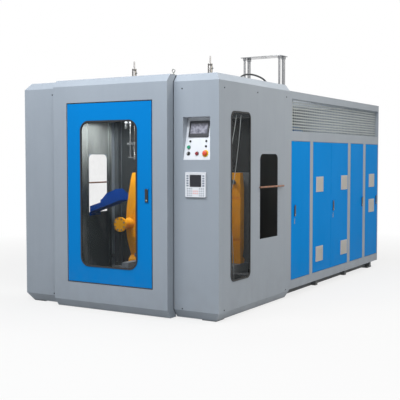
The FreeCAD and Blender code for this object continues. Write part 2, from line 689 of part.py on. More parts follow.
def cabinet_shell():
    cabinet_side("cabinet_frame_right", HALF - S.frame_thick, doors=True)
    cabinet_side("cabinet_frame_left", -HALF, doors=False)
    mesh = mesh_panel("mesh_right")
    group("mesh_panels", [mesh, mirrored("mesh_left", mesh)])
    panels = []
    inner = HALF - S.frame_thick
    spans = ((S.first_front, S.first_rear), (S.pair_front, S.pair_rear),
             (S.third_front, S.third_rear), (S.fourth_front, S.fourth_rear))
    for number, (front, rear) in enumerate(spans):
        panels.append(block(f"left_panel_{number}", (-inner, -inner + S.skin),
                            (front - 20, rear + 20), (S.leaf_low - 20, S.leaf_high + 20)))
    body = new_body("cabinet_roof", kept=False)
    pad(body, "z", S.cabinet_top, S.skin,
        rectangle(-HALF, HALF, S.cabinet_start + 1, S.machine_length),
        rectangle(-S.hopper_half - 4, S.hopper_half + 4, S.throat - S.hopper_half - 4, S.throat + S.hopper_half + 4))
    for edge in (-HALF, HALF - S.skin):
        pad(body, "x", edge, S.skin, rectangle(S.cabinet_start + 1, S.machine_length, S.cabinet_top, S.cabinet_top + 8))
    group("roof_sheets", [cabin_roof(), body])
    rear = new_body("rear_panel", kept=False)
    pad(rear, "y", S.machine_length - S.skin, S.skin,
        rectangle(-HALF + 10, HALF - 10, S.plinth_top, S.cabinet_top - 2))
    slot = pocket(rear, "y", S.machine_length - S.skin - 1, S.skin + 2, rectangle(-300, 300, 300, 312))
    doc.recompute()
    repeat(rear, slot, 40, 10)
    group("fixed_panels", panels + [rear])


# ---------------------------------------------------------------- frames

def base_frame():
    """Ladder of beams on four foot plates with anchor holes."""
    line = S.beam_line
    half = S.beam_wide / 2
    z = (S.beam_low, S.beam_low + S.beam_high)
    parts = [block("base_left", (-line - half, -line + half), (65, 4380), z),
             block("base_right", (line - half, line + half), (65, 4380), z)]
    for number, along in enumerate((95, 755, 1440, 2360, 3290, 4230)):
        reach = line if number < 3 else HALF - S.frame_thick
        parts.append(block(f"base_cross_{number}", (-reach, reach), (along - 30, along + 30), z))
    holes = []
    foot = S.foot_size / 2
    for y in (350, 1350):
        parts.append(block(f"bed_beam_{y}", (-S.beam_line, S.beam_line), (y - 50, y + 50), (z[1], 225)))
    for side in (-1, 1):
        for end in (S.anchor_front, S.anchor_rear):
            name = f"foot_{len(holes)}"
            parts.append(block(name, (side * line - foot, side * line + foot), (end - foot, end + foot),
                               (0, S.beam_low)))
            holes.append(rod(name + "_hole", "z", (side * line, end), -1, S.beam_low + S.beam_high + 2,
                             S.anchor_hole))
    cut("base_frame", fuse("base_weldment", parts, kept=False), holes)


def cabin_frame():
    """Corner posts, door posts, top ring, cover brackets and the beam that carries the blow-pin cylinders."""
    top = S.cabin_height - S.skin
    low = S.beam_low + S.beam_high
    x_out = HALF - 56
    x_in = x_out - S.post
    rear = S.cabin_depth - S.skin - S.post
    parts = []

    def both(name, x, y, z):
        parts.append(block(f"{name}_right", x, y, z))
        parts.append(block(f"{name}_left", (-x[1], -x[0]), y, z))

    for y in (size(140), rear):
        both(f"post_{y.number:.0f}", (x_in, x_out), (y, y + S.post), (low, top))
        parts.append(block(f"ring_{y.number:.0f}", (-x_out, x_out), (y, y + S.post), (top - S.post, top)))
        for z in (300, 2000):
            both(f"side_bracket_{y.number:.0f}_{z}", (x_out, HALF - S.skin), (y, y + 40), (z, z + 40))
    both("ring_side", (x_in, x_out), (140, rear + S.post), (top - S.post, top))
    both("beam_rail", (x_in, x_out), (140, rear + S.post), (1900, 1960))
    door_post = CENTRE - 12 - S.skin
    both("door_post", (door_post - S.post, door_post), (-S.centre_seam, 80), (low, top))
    both("door_tie", (door_post - S.post, door_post), (80, 140), (top - S.post, top))
    for z in (300, 2000):
        both(f"front_bracket_{z}", (x_in, x_out), (S.skin, 140), (z, z + 40))
        both(f"seam_bracket_{z}", (door_post, CENTRE + S.gap), (42, 60), (z, z + 40))
    parts.append(block("cylinder_beam", (-x_out, x_out), (S.mould_plane + 130, S.mould_plane + 190), (1900, 2000)))
    holes = []
    for side in (-1, 1):
        centre = side * S.station_offset
        parts.append(block(f"cylinder_seat_{side}", (centre - 90, centre + 90),
                           (S.mould_plane - 60, S.mould_plane + 140), (1930, 1960)))
        holes.append(stick(f"seat_bore_{side}", "z", (centre, S.mould_plane), 1900, 100, 12))
        for offset in (-57, 57):
            holes.append(stick(f"guide_bore_{side}_{offset}", "z", (centre + offset, S.mould_plane), 1900, 100, 9.2))
    cut("cabin_frame", fuse("cabin_weldment", parts, kept=False), holes)


# ---------------------------------------------------------------- control console

def on_console(item, across, along, moved=True):
    """Set a piece made flat at the origin on the tilted panel: along runs up it from its lower edge."""
    item.Placement.Rotation = FreeCAD.Rotation(NORMAL["x"], -DRIVING["console_tilt"])
    along = size(along).formula
    shift = "dim.front_plane" if moved else "0"
    item.setExpression("Placement.Base.x", size(across).formula)
    item.setExpression("Placement.Base.y", f"{shift} + dim.console_lead + {along} * sin(dim.console_tilt * 1deg)")
    item.setExpression("Placement.Base.z", f"dim.console_low + {along} * cos(dim.console_tilt * 1deg)")
    return item


def flat_piece(name, spot, *steps, kept=True):
    """A piece that faces the front of the console at (across, along): steps are (start, length, outlines...)."""
    body = doc.addObject("PartDesign::Body", name)
    for start, length, *outlines in steps:
        pad(body, "y", start, length, *outlines)
    if kept:
        body.Label = name
        nodes[name] = body
    return on_console(body, *spot, moved=kept)


BUTTONS = {"green_button": (821, 118), "key_switch": (824, 59), "stop_button": (915, 59),
           "emergency_stop": (1002, 60)}
SCREEN = (910, 287)


def console():
    """Pan set in the right cover: a panel that leans back carries the screen, plugs and buttons."""
    rim = 10
    shank = 10
    pan = new_body("console_pan", kept=False)
    slope_top = S.console_lead + (S.console_high - S.console_low) * math.tan(math.radians(DRIVING["console_tilt"]))
    pad(pan, "x", S.console_left - rim, S.console_right - S.console_left + 2 * rim,
        rectangle(S.skin, S.skin + S.console_depth, S.console_low - rim, S.console_high + rim))
    pocket(pan, "x", S.console_left, S.console_right - S.console_left,
           polygon((-1, S.console_low), (S.console_lead, S.console_low), (slope_top, S.console_high),
                   (-1, S.console_high)))
    bores = []
    for name, spot in BUTTONS.items():
        bores.append(flat_piece(name + "_bore", spot, (-1, 27, ngon(0, 0, shank + 0.5, hole=True)), kept=False))
    ring = flat_piece("emergency_ring", BUTTONS["emergency_stop"],
                      (-4, 4, ngon(0, 0, 31, sides=16), ngon(0, 0, shank + 0.5, hole=True)), kept=False)
    group("operator_console", [cut("console_body", pan, bores, kept=False), ring])
    flat_piece("touch_screen", SCREEN,
               (-11, 11, rectangle(-105, 105, -75, 75), rectangle(-92, 92, -44, 51)),
               (-8, 8, rectangle(-92, 92, -44, 51)))
    stem = (-6, 24, ngon(0, 0, shank))
    flat_piece("green_button", BUTTONS["green_button"], (-14, 9, ngon(0, 0, 15, sides=16)), stem)
    flat_piece("stop_button", BUTTONS["stop_button"], (-14, 9, ngon(0, 0, 16, sides=16)), stem)
    flat_piece("key_switch", BUTTONS["key_switch"], (-9, 8, ngon(0, 0, 16, sides=16)), (-2, 20, ngon(0, 0, shank)),
               (-22, 14, rectangle(-3, 3, -9, 9)))
    flat_piece("emergency_stop", BUTTONS["emergency_stop"], (-26, 14, ngon(0, 0, 24, sides=16)),
               (-13, 31, ngon(0, 0, shank)))


def parison_controller():
    body = new_body("parison_controller")
    pad(body, "y", -14, 14,
        rounded(S.controller_left, S.controller_right, S.controller_low, S.controller_high, 10))
    pad(body, "y", -1, 100, rectangle(S.controller_left + 8, S.controller_right - 8, S.controller_low + 8,
                                      S.controller_high - 8))
    pocket(body, "y", -15, 3, rectangle(S.controller_left + 45, S.controller_right - 45, S.controller_low + 95,
                                        S.controller_high - 22))


# ---------------------------------------------------------------- mould stations

TIE_BARS = ((-1, S.tie_low), (1, S.tie_high))


def platen_bores(body, centre, start, length):
    for side, height in TIE_BARS:
        pocket(body, "y", start, length,
               ngon(centre + side * S.bar_offset, height, S.tie_radius + S.running, sides=12, hole=True))


def front_platen(name, centre):
    """Cast platen: flat mould face, bowed ribs towards the front, and a flanged hub."""
    body = new_body(name)
    face = S.mould_plane - S.open_half
    half = S.platen_half
    pad(body, "x", centre - half, 2 * half,
        polygon((face, S.platen_low), (face, S.platen_high), (face - 60, S.platen_high), (face - 100, 1160),
                (face - 150, 950), (face - 150, 660), (face - 95, 520), (face - 60, 440), (face - 130, 410),
                (face - 130, S.platen_low)))
    for left, right in ((-half + S.rib, -75), (-45, 45), (75, half - S.rib)):
        pocket(body, "y", face - 151, 111, rectangle(centre + left, centre + right, 425, S.platen_high - 40))
    pad(body, "y", S.hub_front + 20, face - 45 - S.hub_front - 20, ngon(centre, S.hub_height, 58, sides=12))
    pad(body, "y", S.hub_front, 22, ngon(centre, S.hub_height, 75, sides=20))
    slots(body, centre, face - 12, 13)
    platen_bores(body, centre, face - 160, 170)
    pad(body, "y", 330, face - 130 - 330, ngon(centre, 390, 18, sides=12))


def slots(body, centre, start, depth):
    """Two level T-slots in a mould face, cut through from side to side."""
    for height in (620, 1060):
        pocket(body, "y", start, depth,
               rectangle(centre - S.platen_half - 1, centre + S.platen_half + 1, height - 9, height + 9))


def rear_platen(name, centre):
    body = new_body(name)
    face = S.mould_plane + S.open_half
    half = S.platen_half
    pad(body, "x", centre - half, 2 * half,
        polygon((face, S.platen_low), (face, S.platen_high), (face + 55, S.platen_high), (face + 85, 1160),
                (face + 85, 520), (face + 55, 440), (face + 95, 410), (face + 95, S.platen_low)))
    for left, right in ((-half + S.rib, -75), (-45, 45), (75, half - S.rib)):
        pocket(body, "y", face + 40, 60, rectangle(centre + left, centre + right, 425, S.platen_high - 40))
    slots(body, centre, face - 1, 13)
    platen_bores(body, centre, face - 10, 110)


def carriage():
    """Deck that shuttles both stations, with a yoke behind each, a scrap opening and two clamp cylinders."""
    body = new_body("carriage_deck", kept=False)
    left = -S.platen_half - 10
    right = S.station_offset + S.platen_half + 10
    centres = (size(0), S.station_offset)
    pad(body, "z", S.deck_low, S.deck_high - S.deck_low, rectangle(left, right, 140, 1480),
        *[rectangle(c - 150, c + 150, S.mould_plane - 170, S.mould_plane + 170) for c in centres])
    for c in centres:
        pad(body, "z", S.deck_high, S.platen_high - S.deck_high,
            rectangle(c - S.platen_half, c + S.platen_half, 1430, 1470))
        pad(body, "z", S.deck_high, 90, rectangle(c - 40, c + 40, 160, 520))
        pocket(body, "y", 159, 362, ngon(c, 390, 18 + S.running, hole=True))
    for y in (350, 1350):
        for x in (left, right - 200):
            pad(body, "z", 262, S.deck_low - 262, rectangle(x, x + 200, y - 50, y + 50))
    bars = []
    for c in centres:
        for side, height in TIE_BARS:
            bars.append(stick(f"tie_bar_{len(bars)}", "y", (c + side * S.bar_offset, height), 560, 870,
                              S.tie_radius, 12))
    group("shuttle_carriage", [body] + bars)


def shuttle_rails():
    """The two guide rails that the carriage runs on."""
    group("shuttle_rails", [block(f"rail_{y}", (-1000, 1000), (y - 20, y + 20), (225, 261.7)) for y in (350, 1350)])


def blow_pins():
    """Cylinders above the roof; each moves a rod, a cross plate, a blow pin and two guide rods."""
    barrels = []
    for side, name in ((-1, "left_blow_pin"), (1, "right_blow_pin")):
        x = side * S.station_offset
        barrel = new_body(f"blow_barrel_{side + 1}", kept=False)
        start = 1960
        bore = ngon(x, S.mould_plane, 7.5, hole=True)
        pad(barrel, "z", start, S.barrel_top - start, ngon(x, S.mould_plane, 25, sides=20), bore)
        pad(barrel, "z", start, 20, rectangle(x - 44, x + 44, S.mould_plane - 44, S.mould_plane + 44), bore)
        barrels.append(barrel)
        pin = new_body(name)
        pad(pin, "z", 1640, S.pin_top - 1640, ngon(x, S.mould_plane, 7, sides=12))
        pad(pin, "z", 1630, 24, rectangle(x - 80, x + 80, S.mould_plane - 35, S.mould_plane + 35))
        pad(pin, "z", S.pin_tip, 1640 - S.pin_tip, ngon(x, S.mould_plane, 14, sides=12))
        for offset in (-57, 57):
            pad(pin, "z", S.pin_tip + 20, 2200 - S.pin_tip - 20, ngon(x + offset, S.mould_plane, 8))
    group("blow_cylinders", barrels)


def product_chute():
    """Open trough from the left station down to the left hatch, hung on the side cover."""
    body = new_body("product_chute")
    inner, outer = S.chute_inner, -HALF + S.skin + 4
    high, low = S.chute_high, S.chute_low
    front, rear = S.chute_front, S.chute_rear
    pad(body, "y", front, rear - front, polygon((inner, high), (outer, low), (outer, low + 3), (inner, high + 3)))
    pad(body, "y", front, 3, polygon((inner, high), (outer, low), (outer, low + 70), (inner, high + 53)))
    pad(body, "y", rear - 3, 3,
        polygon((inner, high), (outer, low), (outer, low + 133), (outer + 28, low + 148), (outer + 90, low + 212),
                (outer + 235, low + 266), (inner - 95, high + 128), (inner - 15, high + 68), (inner, high + 53)))
    pad(body, "x", -HALF + S.skin, 6, rectangle(front, rear, low - 40, low + 4))


# ---------------------------------------------------------------- extruder

def extruder():
    body = new_body("extruder_barrel")
    high = S.screw_height
    front, rear = S.barrel_front, S.barrel_rear
    bore = ngon(0, high, S.bore_radius, sides=16, hole=True)
    pad(body, "y", front, rear - front, ngon(0, high, S.barrel_radius, sides=16), bore)
    pad(body, "y", rear - 30, 30, rectangle(-110, 110, high - 110, high + 110), bore)
    pad(body, "y", front, 40, ngon(0, high, 90, sides=12), bore)
    for start in (front + 180, front + 760, front + 1340):
        pad(body, "y", start, 480, ngon(0, high, 84, sides=8), bore)
    pocket(body, "z", high, 200, rectangle(-34, 34, S.throat - 34, S.throat + 34))
    screw = new_body("extruder_screw")
    pad(screw, "y", front + 20, rear - front + 60, ngon(0, high, S.bore_radius - 0.5, sides=16))
    pocket(screw, "y", rear + 10, 80, rectangle(20, 40, high - 40, high + 40))
    drive = new_body("gear_box", kept=False)
    pad(drive, "y", rear, 380, rectangle(-190, 190, S.table_high, high + 170), ngon(0, high, 60))
    pad(drive, "y", rear + 180, 200, ngon(0, high, 66))
    motor = new_body("drive_motor", kept=False)
    pad(motor, "y", rear + 380, 26, rectangle(-160, 160, high - 160, high + 160))
    pad(motor, "y", rear + 406, 500, ngon(0, high, 140, sides=16))
    pad(motor, "z", S.table_high, high - S.table_high, rectangle(-110, 110, rear + 440, rear + 800))
    pad(motor, "x", 100, 90, rectangle(rear + 500, rear + 680, high - 60, high + 60))
    group("extruder_drive", [drive, motor])
    table = [block("table_top", (-300, 300), (2900, 4280), (S.table_high - 30, S.table_high))]
    for x in (-290, 230):
        for y in (2920, 4200):
            table.append(block(f"table_leg_{len(table)}", (x, x + 60), (y, y + 60), (110, S.table_high - 30)))
        table.append(block(f"table_rail_{len(table)}", (x, x + 60), (2920, 4260), (400, 460)))
    fuse("extruder_table", table)
    head = new_body("die_head")
    y = S.mould_plane
    pad(head, "z", 1540, 370, ngon(0, y, 120, sides=16))
    pad(head, "z", 1490, 50, ngon(0, y, 60, sides=16))
    pad(head, "z", 1910, 80, ngon(0, y, 85, sides=12))
    pad(head, "y", y, front - y, ngon(0, high, 55, sides=12))
    pad(head, "y", front - 40, 40, ngon(0, high, 90, sides=12))


def funnel(name, half, mouth):
    """A pyramid frustum between the neck's and the body's half width, standing on end."""
    item = doc.addObject("Part::Wedge", name)
    item.Placement.Rotation = FreeCAD.Rotation(NORMAL["x"], 90)
    bind(item, Xmin=-size(half), Xmax=half, Zmin=-size(half), Zmax=half, X2min=-size(mouth), X2max=mouth,
         Z2min=-size(mouth), Z2max=mouth, Ymin=0, Ymax=S.funnel_high - S.funnel_low)
    return bind(item, Placement__Base__x=0, Placement__Base__y=S.throat, Placement__Base__z=S.funnel_low)


def hopper():
    """Square funnel that stands in the barrel's throat and hangs by a flange on the cabinet roof."""
    roof = S.cabinet_top + S.skin
    half, neck, wall = S.hopper_half, S.neck_half, S.hopper_wall

    def square(name, reach, low, high):
        return block(name, (-reach, reach), (S.throat - reach, S.throat + reach), (low, high))

    outside = [square("hopper_body", half, S.funnel_high, S.mouth_high), funnel("hopper_funnel", neck, half),
               square("hopper_neck", neck, S.screw_height + 40, S.funnel_low),
               square("hopper_flange", half + 27, roof, roof + 5)]
    inside = [square("hopper_space", half - wall, S.funnel_high, S.mouth_high + 1),
              funnel("hopper_slope", neck - wall, half - wall),
              square("hopper_outlet", neck - wall, S.screw_height + 39, S.funnel_low)]
    cut("hopper", fuse("hopper_outside", outside, kept=False), inside)


def loader_stand():
    """Four columns on the cabinet roof with a top plate, a feed pipe and a lift cylinder."""
    base = S.cabinet_top + S.skin
    top = S.stand_high
    parts = []
    for side in (-1, 1):
        for end, radius in ((-1, 11), (1, 18)):
            parts.append(stick(f"column_{side}_{end}", "z", (side * S.stand_wide, S.throat + end * S.stand_deep),
                               base, top - base, radius, 12))
        parts.append(block(f"stand_foot_{side}", (side * S.stand_wide - 50, side * S.stand_wide + 50),
                           (S.throat - 110, S.throat + 110), (base, base + 12)))
    plate = cut("stand_plate", block("stand_sheet", (-S.stand_wide - 40, S.stand_wide + 40),
                                     (S.throat - 100, S.throat + 100), (top, top + 10)),
                [stick("stand_port", "z", (0, S.throat), top - 1, 12, 42)], kept=False)
    fuse("loader_stand", parts + [plate])


# ---------------------------------------------------------------- services

def hydraulics():
    tank = block("tank_body", (560, 1040), (1620, 2040), (110, 560))
    motor = stick("pump_motor_body", "z", (800, 1830), 560, 490, 110, 16)
    ends = block("pump_terminal", (905, 965), (1780, 1880), (700, 820))
    fuse("hydraulic_unit", [tank, motor, ends])


def electrical():
    parts = [block("rack_plate", (700, 706), (2160, 3215), (110, 1620))]
    for line in range(4):
        low = 380 + 320 * line
        parts.append(block(f"rack_duct_{line}", (706, 766), (2180, 3195), (low + 190, low + 250)))
        count = 6 - line
        for item in range(count):
            start = 2200 + item * 990 / count
            parts.append(block(f"rack_unit_{line}_{item}", (706, 780 + 15 * line),
                               (start, start + 990 / count - 14), (low, low + 130)))
    fuse("electrical_rack", parts)


def eye_bolt():
    body = new_body("eye_bolt")
    x, y, top = 655, 30, S.cabin_height
    pad(body, "y", y - 4, 8, ngon(x, top + 36, 18.5, sides=12), ngon(x, top + 36, 10.5, sides=12))
    pad(body, "z", top, 20, ngon(x, y, 6))
    pad(body, "z", top, 5, ngon(x, y, 11, sides=6))


def tube_path(points, inner_share=0.45, end_share=0.9):
    """Straight runs joined by tangent arcs, each arc as large as its two runs allow."""
    edges = []
    start = points[0]
    for before, corner, after in zip(points, points[1:], points[2:]):
        back = before - corner
        ahead = after - corner
        turn = math.pi - back.getAngle(ahead)
        back_share = end_share if before is points[0] else inner_share
        ahead_share = end_share if after is points[-1] else inner_share
        cut_back = min(back_share * back.Length, ahead_share * ahead.Length)
        enter = corner + back.normalize() * cut_back
        leave = corner + ahead.normalize() * cut_back
        radius = cut_back / math.tan(turn / 2)
        bisector = (back + ahead).normalize()
        centre = corner + bisector * math.hypot(radius, cut_back)
        middle = centre - bisector * radius
        edges.append(Part.LineSegment(start, enter).toShape())
        edges.append(Part.Arc(enter, middle, leave).toShape())
        print(f"hose bend radius {radius:.0f}")
        start = leave
    edges.append(Part.LineSegment(start, points[-1]).toShape())
    return Part.Wire(edges)


def hydraulic_hose():
    """Hose that rises from a fitting in the cabin roof and comes down into the cabinet roof."""
    x = 700
    radius = 9.5
    low = DRIVING["cabin_height"]
    end = DRIVING["cabinet_top"] + 3
    route = [(1218, low + 24), (1230, low + 97), (1545, low + 143), (1925, low + 88), (1940, end + 30)]
    points = [FreeCAD.Vector(x, y, z) for y, z in route]
    wire = tube_path(points)
    level = FreeCAD.Vector(1, 0, 0)
    upright = level.cross(points[1] - points[0]).normalize()
    sides = 8
    turns = [2 * math.pi * i / sides for i in range(sides + 1)]
    section = Part.makePolygon([points[0] + level * (radius * math.cos(a)) + upright * (radius * math.sin(a))
                                for a in turns])
    tube = wire.makePipeShell([section], True, False)
    area = sides / 2 * radius ** 2 * math.sin(2 * math.pi / sides)
    print(f"hose volume {tube.Volume:.0f} against {area * wire.Length:.0f}, length {wire.Length:.0f}")
    ends = []
    for (y, z), away in ((route[0], low), (route[-1], end)):
        for width, length in ((15, 22), (12.5, abs(z - away) + 12)):
            turns = [math.pi * i / 3 for i in range(7)]
            outline = Part.makePolygon([FreeCAD.Vector(x + width * math.cos(a), y + width * math.sin(a), away)
                                        for a in turns])
            ends.append(Part.Face(outline).extrude(FreeCAD.Vector(0, 0, length)))
    shape = tube.fuse(ends)
    item = doc.addObject("Part::Feature", "hydraulic_hose")
    item.Shape = shape.removeSplitter()
    place(item, "hydraulic_hose")


# ---------------------------------------------------------------- build

def build():
    front_left_cover()
    front_centre_cover()
    front_right_cover()
    side_cover("side_cover_right", 1, (S.hatch_front, S.hatch_rear, S.hatch_low), (S.row_front, S.row_rear),
               S.row_low, S.row_pitch, S.row_count)
    side_cover("side_cover_left", -1, (S.exit_front, S.exit_rear, S.exit_low), (S.exit_row_front, S.exit_row_rear),
               S.exit_row_low, S.exit_row_pitch, S.exit_row_count)
    cabin_rear_wall()
    side_glazing()
    guard_bars()
    front_door()
    cabinet_doors()
    cabinet_shell()
    base_frame()
    cabin_frame()
    console()
    parison_controller()
    front_platen("left_front_platen", size(0))
    front_platen("right_front_platen", S.station_offset)
    rear_platen("left_rear_platen", size(0))
    rear_platen("right_rear_platen", S.station_offset)
    carriage()
    shuttle_rails()
    blow_pins()
    product_chute()
    extruder()
    hopper()
    loader_stand()
    hydraulics()
    electrical()
    eye_bolt()
    hydraulic_hose()
    doc.recompute()


def write():
    """Check every object and write each sub-part's shape."""
    faults = [item.Label for item in doc.Objects if {"Invalid", "Error"} & set(item.State)]
    for name, item in nodes.items():
        if item.Shape.isNull() or not item.Shape.isValid() or not item.Shape.Solids:
            faults.append(name)
    if faults:
        raise SystemExit(f"failed objects: {faults}")
    os.makedirs("parts", exist_ok=True)
    for name, item in nodes.items():
        item.Shape.exportStep(f"parts/{name}.step")
    print(f"{len(nodes)} sub-parts written")


build()
write()
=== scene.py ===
"""Looks of a two-station blow moulding machine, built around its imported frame. Lengths are metres."""

import json
import math

import bmesh
import bpy
import numpy as np
from mathutils import Matrix


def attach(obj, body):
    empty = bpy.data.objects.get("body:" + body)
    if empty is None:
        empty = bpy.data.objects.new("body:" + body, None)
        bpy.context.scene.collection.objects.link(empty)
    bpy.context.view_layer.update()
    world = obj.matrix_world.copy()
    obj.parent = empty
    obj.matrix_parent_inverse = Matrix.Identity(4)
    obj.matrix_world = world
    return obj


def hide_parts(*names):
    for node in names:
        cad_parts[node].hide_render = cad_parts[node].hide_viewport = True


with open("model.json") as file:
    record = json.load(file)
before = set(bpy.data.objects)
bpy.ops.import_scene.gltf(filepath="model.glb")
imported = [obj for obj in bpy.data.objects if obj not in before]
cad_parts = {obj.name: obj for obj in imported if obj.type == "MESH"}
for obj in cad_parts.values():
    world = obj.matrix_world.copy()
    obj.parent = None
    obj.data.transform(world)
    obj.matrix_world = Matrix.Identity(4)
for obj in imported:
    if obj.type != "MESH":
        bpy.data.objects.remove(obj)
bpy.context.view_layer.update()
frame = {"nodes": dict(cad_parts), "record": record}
NODES = frame["nodes"]
SLOTS = {entry["node"]: entry["material_slot"] for entry in frame["record"]["subparts"]}

FRONT = -2.190                      # Y of the cabin's front plane
WHITE = (1, 1, 1, 1)
FULL_TURN = 2 * math.pi


# ---------------------------------------------------------------- colours and shader nodes

def paint(code):
    """Hex code of a displayed colour as the linear numbers that a shader takes."""
    part = np.array([int(code[i:i + 2], 16) for i in (1, 3, 5)]) / 255.0
    linear = np.where(part <= 0.04045, part / 12.92, ((part + 0.055) / 1.055) ** 2.4)
    return (*linear.tolist(), 1.0)


def feed(tree, socket, value):
    """Links another node's output into a socket, or sets the socket's own value."""
    if isinstance(value, bpy.types.NodeSocket):
        tree.links.new(value, socket)
    else:
        socket.default_value = value


def add(tree, kind, inputs=None, **settings):
    """A node with its settings and its inputs."""
    node = tree.nodes.new(kind)
    for key, value in settings.items():
        setattr(node, key, value)
    for key, value in (inputs or {}).items():
        feed(tree, node.inputs[key], value)
    return node


def new_group(name, inputs, outputs):
    """An empty node group with named inputs (kind, value) and outputs (kind)."""
    group = bpy.data.node_groups.new(name, "ShaderNodeTree")
    for label, (kind, value) in inputs.items():
        socket = group.interface.new_socket(label, in_out="INPUT", socket_type="NodeSocket" + kind)
        socket.default_value = value
    for label, kind in outputs.items():
        group.interface.new_socket(label, in_out="OUTPUT", socket_type="NodeSocket" + kind)
    start = group.nodes.new("NodeGroupInput")
    end = group.nodes.new("NodeGroupOutput")
    return group, start.outputs, end.inputs


def place_on_object(tree):
    """The shaded point in the object's own coordinates."""
    return add(tree, "ShaderNodeTexCoord").outputs["Object"]


def height_above_floor(tree):
    """The shaded point's height: the floor is at 0 in object coordinates too."""
    return add(tree, "ShaderNodeSeparateXYZ", {"Vector": place_on_object(tree)}).outputs["Z"]


def stretched(tree, scale):
    """Object coordinates, each axis scaled by its own number."""
    return add(tree, "ShaderNodeMapping", {"Vector": place_on_object(tree), "Scale": scale}).outputs["Vector"]


def noise(tree, where, scale, detail, roughness=0.5):
    """Soft noise from 0 to 1 over the surface."""
    return add(tree, "ShaderNodeTexNoise", {"Vector": where, "Scale": scale, "Detail": detail,
                                            "Roughness": roughness}).outputs["Fac"]


def share(tree, value, low, high, to_low=0.0, to_high=1.0):
    """A value's place between two bounds, carried over to two other bounds and held inside them."""
    bounds = {"From Min": low, "From Max": high, "To Min": to_low, "To Max": to_high}
    return add(tree, "ShaderNodeMapRange", {"Value": value, **bounds}, clamp=True).outputs["Result"]


def maths(tree, operation, first, second):
    """One sum of two values."""
    return add(tree, "ShaderNodeMath", {0: first, 1: second}, operation=operation).outputs[0]


def blend_colours(tree, factor, first, second, how="MIX"):
    """Two colours mixed by a factor; a colour mix has its factor at input 0 and its colours at 6 and 7."""
    mix = add(tree, "ShaderNodeMix", {0: factor, 6: first, 7: second}, data_type="RGBA", blend_type=how)
    return mix.outputs[2]


def weathering_group():
    """Workshop ageing: slow mottling, faint runs down the sheet, and dust that settles towards the floor."""
    group, given, result = new_group(
        "workshop ageing",
        {"Color": ("Color", (0.5, 0.5, 0.5, 1)), "Dust Color": ("Color", (0.4, 0.38, 0.35, 1)),
         "Mottling": ("Float", 0.1), "Runs": ("Float", 0.05), "Dust": ("Float", 0.3)},
        {"Color": "Color", "Mask": "Float"})
    cloud = noise(group, stretched(group, (1.3, 1.3, 0.9)), 1.6, 4.0, 0.6)
    runs = noise(group, stretched(group, (14, 14, 0.7)), 1.0, 3.0)
    cloudy = maths(group, "MULTIPLY", share(group, cloud, 0.35, 0.68), given["Mottling"])
    run_mask = maths(group, "MULTIPLY", share(group, runs, 0.52, 0.75), given["Runs"])
    marked = maths(group, "ADD", cloudy, run_mask)
    darker = blend_colours(group, 1.0, given["Color"], (0.62, 0.64, 0.66, 1), "MULTIPLY")
    aged = blend_colours(group, marked, given["Color"], darker)
    low = share(group, height_above_floor(group), 0.02, 0.55, 1.0, 0.0)
    speck = noise(group, place_on_object(group), 9.0, 5.0)
    settled = maths(group, "MULTIPLY", low, share(group, speck, 0.3, 0.7))
    dust = maths(group, "MULTIPLY", settled, given["Dust"])
    group.links.new(blend_colours(group, dust, aged, given["Dust Color"]), result["Color"])
    group.links.new(maths(group, "ADD", marked, dust), result["Mask"])
    return group


def coat_group():
    """Powder coat: a fine skin of round bumps, with a slower waviness below it."""
    group, given, result = new_group("powder coat skin", {"Grain": ("Float", 700.0), "Wave": ("Float", 0.5)},
                                     {"Height": "Float"})
    where = place_on_object(group)
    lifted = maths(group, "MULTIPLY", noise(group, where, 3.0, 1.0), given["Wave"])
    group.links.new(maths(group, "ADD", noise(group, where, given["Grain"], 2.0), lifted), result["Height"])
    return group


def brushing_group():
    """Fine parallel lines: noise drawn out along one axis, for ground, drawn and spun metal."""
    group, given, result = new_group("drawn lines", {"Scale": ("Vector", (400, 400, 4))},
                                     {"Line": "Float", "Height": "Float"})
    where = place_on_object(group)
    scaled = add(group, "ShaderNodeVectorMath", {0: where, 1: given["Scale"]}, operation="MULTIPLY")
    line = noise(group, scaled.outputs[0], 1.0, 3.0)
    group.links.new(share(group, line, 0.3, 0.7), result["Line"])
    group.links.new(line, result["Height"])
    return group


def casting_group():
    """Sand-cast skin: pits and low lumps under enamel, with darker grease in the hollows."""
    group, given, result = new_group("cast skin", {"Color": ("Color", (0.8, 0.5, 0.1, 1)),
                                                   "Grease": ("Color", (0.1, 0.06, 0.02, 1)),
                                                   "Amount": ("Float", 0.4)},
                                     {"Color": "Color", "Height": "Float", "Mask": "Float"})
    where = place_on_object(group)
    soil = noise(group, where, 6.0, 6.0, 0.7)
    mask = maths(group, "MULTIPLY", share(group, soil, 0.5, 0.78), given["Amount"])
    group.links.new(blend_colours(group, mask, given["Color"], given["Grease"]), result["Color"])
    group.links.new(noise(group, where, 45.0, 4.0, 0.65), result["Height"])
    group.links.new(mask, result["Mask"])
    return group


AGEING = weathering_group()
COAT = coat_group()
LINES = brushing_group()
CAST = casting_group()


# ---------------------------------------------------------------- materials

def new_look(name, roughness, metallic=0.0, **sockets):
    """A material with its shader's constants set on the shader itself."""
    material = bpy.data.materials.new(name)
    material.use_nodes = True
    tree = material.node_tree
    shader = tree.nodes["Principled BSDF"]
    shader.inputs["Roughness"].default_value = roughness
    shader.inputs["Metallic"].default_value = metallic
    for key, value in sockets.items():
        shader.inputs[key.replace("_", " ")].default_value = value
    return material, tree, shader


def placed(tree, group, inputs):
    """A node group in a material, with the material's own values; its outputs come back."""
    return add(tree, "ShaderNodeGroup", inputs, node_tree=group).outputs


def aged_colour(tree, shader, colour, dust_code, mottling, runs, dust):
    """Workshop ageing over a colour, on the shader; how much a spot is soiled comes back."""
    aged = placed(tree, AGEING, {"Color": colour, "Dust Color": paint(dust_code), "Mottling": mottling,
                                 "Runs": runs, "Dust": dust})
    tree.links.new(aged["Color"], shader.inputs["Base Color"])
    return aged["Mask"]


